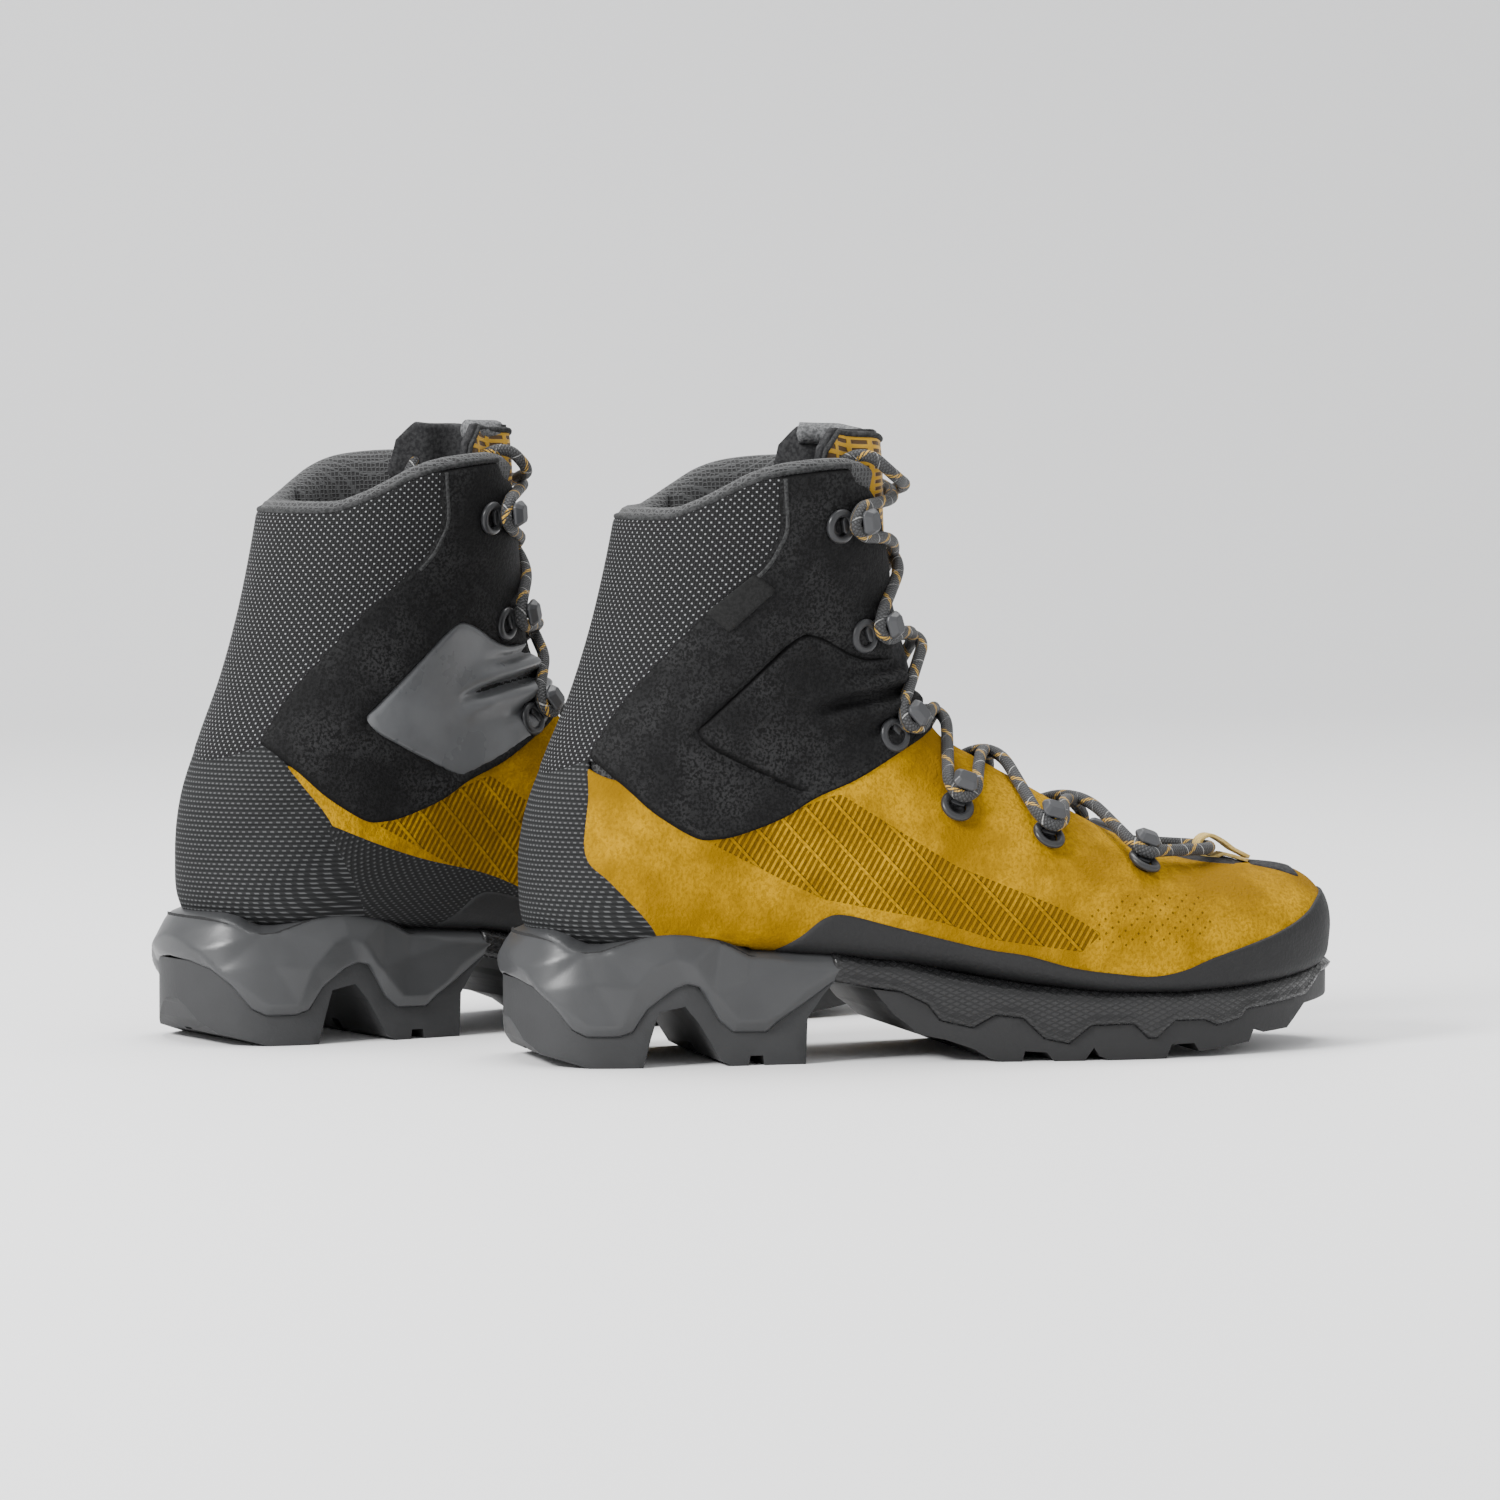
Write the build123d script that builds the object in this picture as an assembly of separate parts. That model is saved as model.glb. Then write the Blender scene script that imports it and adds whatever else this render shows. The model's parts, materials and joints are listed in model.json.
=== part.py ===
from build123d import *
import math
import os

# A pair of mid-height mountaineering boots, in millimetres.
# Each boot is modelled in its own frame: X from the back of the heel to the toe, Z up from the floor,
# lateral side towards -Y. That is the right boot; the left one is its mirror image, set beside it.

# ---- driving dimensions -------------------------------------------------------------------------
SKIN = 2.0                # thickness of leather, fabric and rubber panels
STIFFENER = (2.2, 3.7)    # depths under the surface of the heel counter, toe puff and insole board
BOOTIE = (3.9, 5.4)       # waterproof lining of the foot
COLLAR_PAD = (2.2, 8.0)   # padded lining of the cuff
TONGUE_PAD = (2.3, 7.4)
TONGUE_FACE = (0.9, 2.1)
FOOTBED_DEPTH = 5.6
WIDE = 160.0              # more than a boot is wide, for cutting tools

ANKLE = (70.0, 118.0)     # ankle hinge, X and Z
ANKLE_HUB = 6.0
FOOT_RAYS = (6.5, 191.0)  # the foot ends at these angles about the ankle, front and back
CUFF_RAYS = (20.0, 183.0)
TONGUE_FOOT_Z = 160.0     # the free part of the tongue starts here
TONGUE_TOP_Z = 221.0
TONGUE_HALF = 22.0
THROAT_HALF = 13.0        # half the width of the lacing gap
THROAT_END = 268.0

LACE = 4.4                # diameter of the lace
PLATE = 1.6               # thickness of a hook's plate
POST = 2.2                # radius of a hook's post
RIVET = 2.0

LEFT_BOOT_AT = (-102.0, 100.0)   # the left heel beside the right one
LEFT_BOOT_TURN = 16.0

# ---- the last: cross-sections fanned from the toe, round the ankle, to the top of the cuff --------
# back or bottom point (x, z), front or top point (x, z), lateral and medial half width,
# sideways shift, flatness of the bottom (0.5 is round, less is flatter)
STATIONS = [
    ((306.0, 36.0), (307.5, 42.0), 4.0, 4.0, 5.0, 0.50),
    ((302.5, 30.0), (304.5, 55.0), 17.0, 16.0, 5.0, 0.42),
    ((292.0, 26.0), (294.0, 63.0), 30.0, 27.0, 4.5, 0.34),
    ((272.0, 22.5), (274.0, 66.0), 42.0, 37.0, 3.0, 0.28),
    ((244.0, 20.5), (248.0, 69.5), 50.0, 44.0, 1.0, 0.25),
    ((212.0, 20.5), (219.0, 80.5), 53.0, 46.0, 0.0, 0.24),
    ((180.0, 24.0), (191.0, 96.5), 50.0, 42.5, 0.0, 0.26),
    ((148.0, 29.0), (170.5, 108.5), 44.0, 38.0, 0.0, 0.30),
    ((112.0, 33.0), (158.5, 116.5), 40.5, 36.5, 0.0, 0.34),
    ((70.0, 36.0), (153.0, 126.5), 39.0, 38.0, 0.0, 0.38),
    ((30.0, 37.0), (150.0, 136.5), 38.5, 38.5, 0.0, 0.42),
    ((10.0, 45.0), (147.5, 146.0), 38.5, 38.5, 0.0, 0.44),
    ((6.0, 64.0), (145.5, 153.0), 39.0, 39.0, 0.0, 0.46),
    ((8.0, 86.0), (143.0, 162.0), 40.0, 40.0, 0.0, 0.48),
    ((16.0, 108.0), (141.0, 171.0), 41.0, 41.0, 0.0, 0.50),
    ((25.0, 129.0), (139.5, 180.0), 42.0, 42.0, 0.0, 0.50),
    ((32.5, 152.0), (138.5, 189.0), 42.5, 42.5, 0.0, 0.50),
    ((38.0, 174.0), (138.0, 200.0), 43.0, 43.0, 0.0, 0.50),
    ((42.0, 194.0), (137.5, 212.0), 43.0, 43.0, 0.0, 0.50),
    ((45.0, 214.0), (136.0, 228.0), 43.0, 43.0, 0.0, 0.50),
]
SECTION_POINTS = 20
INSTEP_STATION = 10
TOP_ROUNDING = 0.5

# ---- seams, seen from the side, as (x, z) -------------------------------------------------------
COLLAR_TOP = [
    (20.0, 192.5), (49.0, 192.5), (58.0, 195.0), (68.5, 200.0), (78.5, 205.0), (90.5, 208.5), (108.0, 210.5),
    (120.0, 210.5), (130.0, 208.0), (160.0, 200.0),
]
COLLAR_FRONT = [
    (91.0, 240.0), (92.5, 204.0), (92.5, 190.0), (89.0, 182.5), (82.5, 174.5), (65.0, 160.5), (50.5, 146.0),
    (36.0, 128.0), (24.7, 109.0),
]
ANKLE_LOWER = [
    (24.7, 109.0), (36.4, 97.5), (46.3, 88.5), (59.5, 80.6), (67.6, 80.0), (76.6, 81.7), (92.0, 87.3),
    (104.0, 94.0), (119.4, 100.0), (136.4, 108.7), (150.0, 115.3), (170.0, 126.0),
]
HEEL_FRONT = [(24.7, 109.0), (24.3, 96.0), (22.9, 75.0), (30.3, 65.7), (44.7, 49.7), (50.0, 36.0), (50.0, 10.0)]
RAND_TOP = [
    (90.0, 40.7), (98.0, 45.7), (106.2, 51.8), (114.4, 52.8), (132.9, 48.0), (162.8, 40.4), (178.0, 37.8),
    (195.6, 33.0), (212.4, 30.6), (224.4, 29.5), (236.3, 31.2), (249.0, 35.5), (275.3, 42.5), (289.7, 48.0),
    (301.0, 55.0), (320.0, 62.0),
]
ARCH_TOP = [(62.0, 30.0), (70.0, 50.0), (84.0, 60.0), (102.0, 62.0), (122.0, 57.0), (146.0, 46.0), (160.0, 30.0)]
BOARD_TOP = [
    (0.0, 44.0), (30.0, 42.0), (70.0, 40.7), (112.0, 37.7), (148.0, 33.7), (180.0, 28.7), (212.0, 25.2),
    (244.0, 25.2), (272.0, 27.2), (292.0, 31.0), (310.0, 36.0),
]
FOOTBED_TOP = [(x, z + 5.6) for x, z in BOARD_TOP]

# ---- sole: plan outline (x, y) and side profiles (x, z) -------------------------------------------
SOLE_PLAN = [
    (0.0, 0.0), (3.0, -15.0), (12.0, -29.0), (28.0, -36.5), (55.0, -39.0), (90.0, -38.5), (120.0, -39.5),
    (150.0, -45.5), (180.0, -51.0), (212.0, -54.0), (242.0, -51.5), (268.0, -42.0), (290.0, -26.0), (304.0, -8.0),
    (308.5, 6.0), (303.0, 20.0), (288.0, 33.5), (266.0, 42.5), (240.0, 46.5), (212.0, 47.0), (180.0, 43.0),
    (150.0, 38.5), (120.0, 36.0), (90.0, 37.0), (55.0, 38.5), (28.0, 36.5), (12.0, 29.0), (3.0, 15.0),
]
FRAME_TOP = [
    (-5.0, 49.5), (6.0, 49.0), (11.0, 46.0), (15.0, 43.0), (20.0, 41.3), (26.0, 41.8), (42.0, 48.6), (51.0, 50.3),
    (60.0, 49.4), (71.0, 46.5), (81.0, 41.0), (111.0, 40.2), (123.0, 37.2), (134.0, 34.0), (146.0, 29.0),
]
FRAME_LOWER = [
    (-5.0, 31.5), (2.0, 30.3), (6.0, 27.5), (10.5, 22.0), (16.5, 13.4), (21.0, 11.0), (32.0, 11.0), (37.0, 12.7),
    (42.3, 20.8), (51.7, 27.6), (56.6, 29.3), (60.6, 28.3), (63.0, 24.7), (68.0, 16.2), (73.0, 12.0),
    (85.5, 11.7), (90.2, 15.6), (100.0, 22.0), (110.0, 29.0), (134.0, 27.0), (146.0, 27.0),
]
HEEL_RUBBER = [
    (-5.0, 18.0), (0.3, 16.0), (3.0, 8.8), (7.5, 4.2), (12.0, 3.0), (22.0, 0.0), (40.7, 0.0), (43.3, 10.0),
    (46.2, 19.6), (55.7, 21.5), (60.8, 15.5), (69.3, 1.8), (73.0, 0.0), (79.0, 0.0), (79.6, 3.5), (84.2, 3.5),
    (85.0, 0.0), (100.0, 0.0), (100.6, 16.0), (106.0, 24.0), (110.0, 28.6),
]
MIDSOLE_LOWER = [
    (110.0, 29.0), (134.0, 25.0), (143.0, 20.5), (147.3, 14.8), (159.0, 12.0), (166.7, 16.5), (176.3, 15.4),
    (184.0, 8.0), (193.0, 6.0), (201.0, 12.4), (216.6, 12.6), (222.0, 7.4), (225.4, 7.4), (232.3, 13.4),
    (244.2, 13.2), (249.0, 11.0), (259.0, 13.0), (261.4, 16.0), (290.6, 19.0), (299.0, 26.0), (312.0, 27.0),
]
MIDSOLE_TOP = [
    (110.0, 40.2), (123.0, 37.2), (134.0, 34.3), (150.0, 30.0), (165.0, 27.0), (182.0, 24.6), (204.0, 22.6),
    (236.0, 21.5), (262.0, 23.0), (285.0, 26.0), (300.0, 29.0), (312.0, 31.0),
]
FOREFOOT_RUBBER = [
    (124.0, 26.2), (132.0, 16.6), (136.0, 13.8), (140.6, 9.8), (149.6, 8.0), (160.0, 4.4), (165.6, 1.0), (169.0, 0.0),
    (176.3, 0.0), (177.3, 3.7), (185.0, 3.2), (188.0, 0.0), (198.7, 0.0), (202.0, 4.6), (204.1, 1.6), (208.0, 0.0),
    (229.0, 0.0), (231.2, 5.0), (240.0, 5.2), (242.3, 2.0), (263.0, 4.4), (265.6, 9.2), (269.7, 7.4),
    (281.3, 8.0), (290.6, 16.0), (304.0, 17.0), (312.0, 19.0),
]
SHANK = [(62.0, 30.6), (108.0, 30.4), (134.0, 27.4), (176.0, 20.4), (176.0, 21.8), (134.0, 28.8), (108.0, 31.8), (62.0, 32.0)]
FRAME_WALL = 6.0          # thickness of the heel frame's wall
CHANNEL = 5.0             # width of the channels between the lugs
CHANNEL_DEPTH = 5.0

# ---- hardware: the side-view place (x, z) of each post, from the toe up ---------------------------
EYELETS = [(233.0, 71.5), (196.5, 85.5), (163.5, 97.5)]
ANKLE_HOOK = (145.0, 121.0)
CUFF_HOOKS = [(138.0, 155.0), (126.5, 192.5)]


def prism(outline):
    """A side outline carried right across the boot."""
    face = make_face(Polyline(*[(x, 0, z) for x, z in outline], close=True))
    return extrude(face, amount=WIDE / 2, dir=(0, 1, 0), both=True)


def block(x0, x1, y0, y1, z0, z1):
    return Pos((x0 + x1) / 2, (y0 + y1) / 2, (z0 + z1) / 2) * Box(x1 - x0, y1 - y0, z1 - z0)


def station(index):
    """The station at a fractional index, by Catmull-Rom through the table."""
    rows = [(*b, *f, wl, wm, y, p) for b, f, wl, wm, y, p in STATIONS]
    last = len(rows) - 1
    i = min(int(index), last - 1)
    t = index - i
    before, here, after, beyond = (rows[min(max(k, 0), last)] for k in (i - 1, i, i + 1, i + 2))
    return [
        0.5 * (2 * q + (r - p) * t + (2 * p - 5 * q + 4 * r - s) * t**2 + (3 * q - p - 3 * r + s) * t**3)
        for p, q, r, s in zip(before, here, after, beyond)
    ]


def skin_point(index, turn, inset=0.0):
    """A point of the last. turn runs from 0 at the bottom or back to 180 at the top or front, and on through
    the medial side to 360. inset moves it inwards."""
    xb, zb, xf, zf, lateral, medial, shift, flat = station(index)
    length = math.hypot(xf - xb, zf - zb)
    half = length / 2 - min(inset, 0.4 * length)
    share = (1 - math.cos(math.radians(turn))) / 2
    peak = flat / (flat + TOP_ROUNDING)
    tallest = peak**flat * (1 - peak) ** TOP_ROUNDING
    width = share**flat * (1 - share) ** TOP_ROUNDING / tallest
    on_lateral = turn % 360 <= 180
    reach = max((lateral if on_lateral else medial) - inset, 0.4 * lateral)
    y = shift - width * reach if on_lateral else shift + width * reach
    along = (2 * share - 1) * half / length
    back_off = inset * max(0.0, 1.0 - index / 3.0)
    return Vector((xb + xf) / 2 - back_off + along * (xf - xb), y, (zb + zf) / 2 + along * (zf - zb))


def last_solid(inset):
    """The last as a closed solid, its surface moved inwards by inset: a loft of the foot and one of the cuff."""
    wires = []
    for index in range(len(STATIONS)):
        turns = [360 * k / SECTION_POINTS for k in range(SECTION_POINTS)]
        points = [skin_point(index, turn, inset) for turn in turns]
        wires.append(Wire(Edge.make_spline(points, periodic=True)))
    return Solid.make_loft(wires[: INSTEP_STATION + 1]) + Solid.make_loft(wires[INSTEP_STATION:])


def inset_points(points, depth):
    """The closed run of plan points moved inwards by the depth, each along its own normal."""
    moved = []
    for number, (x, y) in enumerate(points):
        before, after = points[number - 1], points[(number + 1) % len(points)]
        along_x, along_y = after[0] - before[0], after[1] - before[1]
        length = math.hypot(along_x, along_y)
        moved.append((x - depth * along_y / length, y + depth * along_x / length))
    return moved


def skin_place(x, z):
    """The station index and the turn on the lateral side of a side-view place."""
    low, high = 0.0, len(STATIONS) - 1.0
    for _ in range(40):
        middle = (low + high) / 2
        xb, zb, xf, zf = station(middle)[:4]
        if (xf - xb) * (z - zb) - (zf - zb) * (x - xb) > 0:
            low = middle
        else:
            high = middle
    xb, zb, xf, zf = station(low)[:4]
    share = ((x - xb) * (xf - xb) + (z - zb) * (zf - zb)) / ((xf - xb) ** 2 + (zf - zb) ** 2)
    return low, math.degrees(math.acos(1 - 2 * min(max(share, 0.001), 0.999)))


def touching_plane(index, turn, side):
    """The plane that touches the skin: its x runs across the boot towards the throat and its z outwards.
    side is -1 for lateral and 1 for medial."""
    turn = turn if side < 0 else 360 - turn
    here = skin_point(index, turn)
    across = (skin_point(index, turn - side * 2.0) - here).normalized()
    up = (skin_point(index + 0.1, turn) - here).normalized()
    normal = across.cross(up) if side < 0 else up.cross(across)
    return Plane(origin=here, x_dir=across, z_dir=normal)


def skin_frame(x, z, side):
    """The plane that touches the skin at a side-view place."""
    return touching_plane(*skin_place(x, z), side)


def over_ridge(index, height):
    """A point over the middle of the front, at a height above the skin."""
    x, z = station(index)[2:4]
    x_before, z_before = station(index - 0.2)[2:4]
    length = math.hypot(x - x_before, z - z_before)
    return Vector(x + (z - z_before) / length * height, 0, z - (x - x_before) / length * height)


def fan_wedge(start, end, radius=260.0):
    """The side-view outline between two angles about the ankle."""
    steps = [start + (end - start) * k / 6 for k in range(7)]
    cx, cz = ANKLE
    arc = [(cx + radius * math.cos(math.radians(a)), cz + radius * math.sin(math.radians(a))) for a in steps]
    return [ANKLE] + arc


def cylinder_y(centre, radius):
    return Pos(centre[0], 0, centre[1]) * Rot(90, 0, 0) * Cylinder(radius, WIDE)


# ---- the lasts and the shells between them ------------------------------------------------------
outer = last_solid(0.0)
hub = cylinder_y(ANKLE, ANKLE_HUB)
foot_zone = prism(fan_wedge(FOOT_RAYS[1], 360 + FOOT_RAYS[0])) - hub
cuff_zone = prism(fan_wedge(*CUFF_RAYS)) - hub
below_collar_top = prism([(-20, 130)] + [(-20, 192.5)] + COLLAR_TOP + [(160, 130), (160, 60), (-20, 60)])
flex_front = prism(fan_wedge(FOOT_RAYS[0] + 0.4, CUFF_RAYS[0] - 0.4))
flex_back = prism(fan_wedge(CUFF_RAYS[1] + 0.4, FOOT_RAYS[1] - 0.4))
throat = block(104, THROAT_END, -THROAT_HALF, THROAT_HALF, 60, 240)
tongue_slot = block(100, 273, -TONGUE_HALF - 1.5, TONGUE_HALF + 1.5, 60, 240)
tongue_strip = block(100, 272, -TONGUE_HALF, TONGUE_HALF, 60, 240)

hook_planes = {}
for side in (-1, 1):
    for number, place in enumerate(EYELETS + [ANKLE_HOOK] + CUFF_HOOKS):
        hook_planes[(side, number)] = skin_frame(*place, side)
RING_AT = -11.5
HOOK_LIFT = 0.9


def at_hook(key, part):
    return hook_planes[key].location * part


def hook_part():
    """Plate with a ring round the rivet, a post, and the cap that holds the lace on it."""
    lift = HOOK_LIFT
    top = lift + PLATE
    cap_foot = top + 0.3 + LACE + 1.2
    plate = Pos(RING_AT / 2 + 1.0, 0, lift + PLATE / 2) * Box(abs(RING_AT), 7.0, PLATE)
    ring = Pos(RING_AT, 0, lift + PLATE / 2) * Cylinder(5.5, PLATE)
    foot = Pos(1.0, 0, lift + PLATE / 2) * Cylinder(4.2, PLATE)
    post = Pos(0, 0, (lift + cap_foot) / 2) * Cylinder(POST, cap_foot - lift + 0.4)
    cap = Pos(0, 0, cap_foot + 1.5) * Box(7.0, 8.0, 3.0)
    cap = chamfer(cap.edges().group_by(Axis.Z)[-1], 1.0)
    hole = Pos(RING_AT, 0, 1.0) * Cylinder(RIVET + 0.05, 6.0)
    return plate + ring + foot + post + cap - hole


def rivet_part():
    shank = Pos(RING_AT, 0, 0.3) * Cylinder(RIVET, 4.4)
    head = Pos(RING_AT, 0, HOOK_LIFT + PLATE + 0.45) * Cylinder(RIVET + 1.2, 0.9)
    bore = Pos(RING_AT, 0, 2.2) * Cylinder(1.1, 3.0)
    return shank + head - bore


rivet_holes = [at_hook(key, Pos(RING_AT, 0, -0.2) * Cylinder(RIVET + 0.05, 5.0)) for key in hook_planes]
skin = outer - last_solid(SKIN) - throat
skin = skin - rivet_holes
stiff = last_solid(STIFFENER[0]) - last_solid(STIFFENER[1])
bootie_shell = last_solid(BOOTIE[0]) - last_solid(BOOTIE[1])
collar_outer, collar_inner = (last_solid(depth) for depth in COLLAR_PAD)
collar_shell = collar_outer - collar_inner

FLOOR, SKY, BACK, FRONT = -20.0, 260.0, -30.0, 330.0
nodes = {}

# ---- panels of the upper ------------------------------------------------------------------------
heel_zone = prism([(BACK, FLOOR), (BACK, 109.0)] + HEEL_FRONT + [(50.0, FLOOR)])
ankle_zone = prism(COLLAR_FRONT + ANKLE_LOWER[1:] + [(FRONT, 126.0), (FRONT, 240.0)])
collar_zone = prism(COLLAR_FRONT + [(BACK, 109.0), (BACK, 240.0)])
rand_zone = prism(RAND_TOP + [(FRONT, 62.0), (FRONT, FLOOR), (90.0, FLOOR)])
vamp_zone = prism(
    HEEL_FRONT[::-1] + ANKLE_LOWER[1:] + [(FRONT, 126.0), (FRONT, 62.0)] + RAND_TOP[::-1] + [(90.0, 10.0)]
)
arch_zone = prism(ARCH_TOP + [(160.0, FLOOR), (62.0, FLOOR)]) & block(0, 200, 0, 80, FLOOR, 100)

foot_skin = skin & foot_zone
cuff_skin = skin & cuff_zone & below_collar_top
nodes["heel_fabric"] = foot_skin & heel_zone
nodes["rand"] = (foot_skin & rand_zone) - arch_zone
nodes["vamp"] = (foot_skin & vamp_zone) - arch_zone
nodes["arch_panel"] = foot_skin & arch_zone
nodes["ankle_panel_lower"] = foot_skin & ankle_zone
nodes["ankle_panel_upper"] = cuff_skin & ankle_zone
nodes["collar_panel"] = cuff_skin & collar_zone

# ---- stiffeners and linings ---------------------------------------------------------------------
board_zone = prism(BOARD_TOP + [(310.0, FLOOR), (0.0, FLOOR)])
counter_zone = prism([(BACK, 45.0), (0.0, 44.2), (30.0, 42.2), (70.0, 40.9), (66.0, 74.0), (40.0, 90.0), (BACK, 92.0)])
puff_zone = prism([(274.0, 27.8), (292.0, 31.2), (310.0, 36.2), (FRONT, 42.0), (FRONT, 90.0), (280.0, 90.0)])
nodes["insole_board"] = stiff & board_zone
nodes["heel_counter"] = stiff & counter_zone
nodes["toe_puff"] = stiff & puff_zone
nodes["bootie"] = (bootie_shell & foot_zone) - tongue_slot
nodes["footbed"] = last_solid(FOOTBED_DEPTH) & prism(FOOTBED_TOP + [(310.0, FLOOR), (0.0, FLOOR)])
nodes["collar_lining"] = (collar_shell & cuff_zone & below_collar_top) - tongue_slot

# ---- flexing gusset round the ankle, and the tongue ----------------------------------------------
tongue_shell = last_solid(TONGUE_PAD[0]) - last_solid(TONGUE_PAD[1])
face_shell = last_solid(TONGUE_FACE[0]) - last_solid(TONGUE_FACE[1])
wall = outer - last_solid(BOOTIE[1])
nodes["flex_gusset"] = wall & (flex_front + flex_back + cylinder_y(ANKLE, ANKLE_HUB - 0.3))
nodes["tongue_base"] = tongue_shell & foot_zone & tongue_strip & block(120, 276, -60, 60, 60, 200)
above_hinge = block(100, 200, -60, 60, TONGUE_FOOT_Z, TONGUE_TOP_Z)
face_width = block(100, 200, -THROAT_HALF + 1.5, THROAT_HALF - 1.5, TONGUE_FOOT_Z, TONGUE_TOP_Z)
nodes["tongue_pad"] = tongue_shell & tongue_strip & above_hinge
nodes["tongue_face"] = face_shell & face_width

# ---- sole unit ----------------------------------------------------------------------------------
sole = extrude(make_face(Spline(*SOLE_PLAN, periodic=True)), amount=60)
core_plan = make_face(Spline(*inset_points(SOLE_PLAN, FRAME_WALL), periodic=True))
heel_core = extrude(core_plan, amount=60) & block(BACK, 150, -80, 80, 0, 60)
frame_side = prism(FRAME_TOP + FRAME_LOWER[::-1])
nodes["heel_frame"] = ((sole - heel_core) & frame_side) - outer
core_side = prism([(-5.0, 44.0), (110.0, 44.0)] + MIDSOLE_TOP + MIDSOLE_LOWER[:0:-1] + FRAME_LOWER[:-2][::-1])
shank_plate = prism(SHANK) & block(0, 200, -13, 13, 0, 60)
midsole = (sole & core_side) - outer
nodes["midsole"] = midsole - nodes["heel_frame"] - shank_plate
nodes["shank"] = shank_plate
heel_side = prism(HEEL_RUBBER + FRAME_LOWER[:-2][::-1])
fore_side = prism(FOREFOOT_RUBBER + MIDSOLE_LOWER[1:][::-1])
channels = [block(-10, 320, -CHANNEL / 2, CHANNEL / 2, -1, CHANNEL_DEPTH)]
for x in (31.0, 90.0, 155.0, 215.0, 250.0):
    channels.append(block(x - CHANNEL / 2, x + CHANNEL / 2, -24, 20, -1, CHANNEL_DEPTH))
nodes["outsole_heel"] = (sole & heel_side) - channels
nodes["outsole_forefoot"] = (sole & fore_side) - channels

# ---- hardware -----------------------------------------------------------------------------------
one_hook, one_rivet = hook_part(), rivet_part()
groups = {"lower_hooks": (0, 1, 2, 3), "cuff_hooks": (4, 5)}
for name, numbers in groups.items():
    nodes[name] = Compound([at_hook((s, n), one_hook) for n in numbers for s in (-1, 1)])
nodes["foot_rivets"] = Compound([at_hook((s, n), one_rivet) for n in (0, 1, 2, 3) for s in (-1, 1)])
nodes["cuff_rivets"] = Compound([at_hook((s, n), one_rivet) for n in (4, 5) for s in (-1, 1)])

LOOP_CENTRE = (262.0, 71.6)
loop_tail = [(264.0, 74.6), (272.0, 72.2), (284.0, 67.3), (284.0, 68.7), (272.0, 73.6), (264.0, 76.0)]
loop = cylinder_y(LOOP_CENTRE, 4.8) + prism(loop_tail) - cylinder_y(LOOP_CENTRE, 3.5)
nodes["toe_loop"] = loop & block(200, 300, -4, 4, 0, 100)

label_frame = skin_frame(76.0, 163.5, -1)
nodes["label"] = label_frame.location * Pos(0, 0, 1.0) * Rot(0, 0, 20) * Box(18.0, 9.0, 0.7)

# ---- lace: one cord from the tucked end on one side, down to the toe loop and up to the other --------
lace_height = HOOK_LIFT + PLATE + 0.3 + LACE / 2
WRAP = [(-1.0, -5.4), (-6.4, 0.0), (-1.0, 5.4)]   # round a post, in the hook's own plane
LOW, HIGH = 4.6, 10.4                             # heights of the two strands where they cross
LOOP_BEND = [(257.0, 13.5), (262.0, 4.0), (262.0, -4.0), (257.0, -13.5)]   # under the toe loop, (x, y)
ROWS = EYELETS + [ANKLE_HOOK] + CUFF_HOOKS
LAST_FOOT_ROW = 3
TOP_CROSSING = 17.2
FLANK = Vector(0, 0, 3.8)
row_place = [skin_place(*place) for place in ROWS]
TUCK = [(137.0, 24.5, 207.0), (125.0, 26.5, 217.0), (110.0, 20.0, 208.0), (105.0, 18.0, 192.0), (104.0, 18.0, 177.0)]


def wrap_points(side, number):
    plane = hook_planes[(side, number)]
    return [plane.from_local_coords(Vector(u, -side * v, lace_height)) for u, v in WRAP]


def crossing_run(number, first, side):
    """From one row to the next: over the other strand in one go, or under it with a point on each flank."""
    index, next_index = row_place[number][0], row_place[number + 1][0]
    middle = (index + next_index) / 2
    if first == (number % 2 == 0):
        return [over_ridge(middle, HIGH)]
    turn, next_turn = ((row_place[n][1] + 180) / 2 for n in (number, number + 1))
    before = touching_plane((index + middle) / 2, turn, side)
    after = touching_plane((middle + next_index) / 2, next_turn, -side)
    return [before.from_local_coords(FLANK), over_ridge(middle, LOW), after.from_local_coords(FLANK)]


def strand_points(first):
    """The strand that starts at the lateral eyelet if it is the first, at the medial one if not."""
    side = -1 if first else 1
    foot, cuff = [], []
    for number in range(len(ROWS)):
        here = side if number % 2 == 0 else -side
        (foot if number <= LAST_FOOT_ROW else cuff).extend(wrap_points(here, number))
        if number < LAST_FOOT_ROW:
            foot.extend(crossing_run(number, first, here))
        elif number == LAST_FOOT_ROW:
            cuff = crossing_run(number, first, here)
            foot.append((foot[-1] + cuff[0]) / 2)
            cuff.insert(0, foot[-1])
        elif number + 1 < len(ROWS):
            cuff.extend(crossing_run(number, first, here))
    over = [over_ridge(TOP_CROSSING, HIGH + 2.5)]
    if not first:
        flank = touching_plane((row_place[-1][0] + TOP_CROSSING) / 2, 160, -side)
        over = [flank.from_local_coords(FLANK), over_ridge(TOP_CROSSING, LOW)]
    tuck = [Vector(x, side * y, z) for x, y, z in TUCK]
    return foot, cuff + over + tuck


def corner_radii(points):
    """As large as the two runs beside each corner allow."""
    radii = []
    for before, here, after in zip(points, points[1:], points[2:]):
        run = min((here - before).length, (after - here).length)
        turn = math.radians((here - before).get_angle(after - here))
        radii.append(0.45 * run / math.tan(turn / 2))
    return radii


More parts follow.
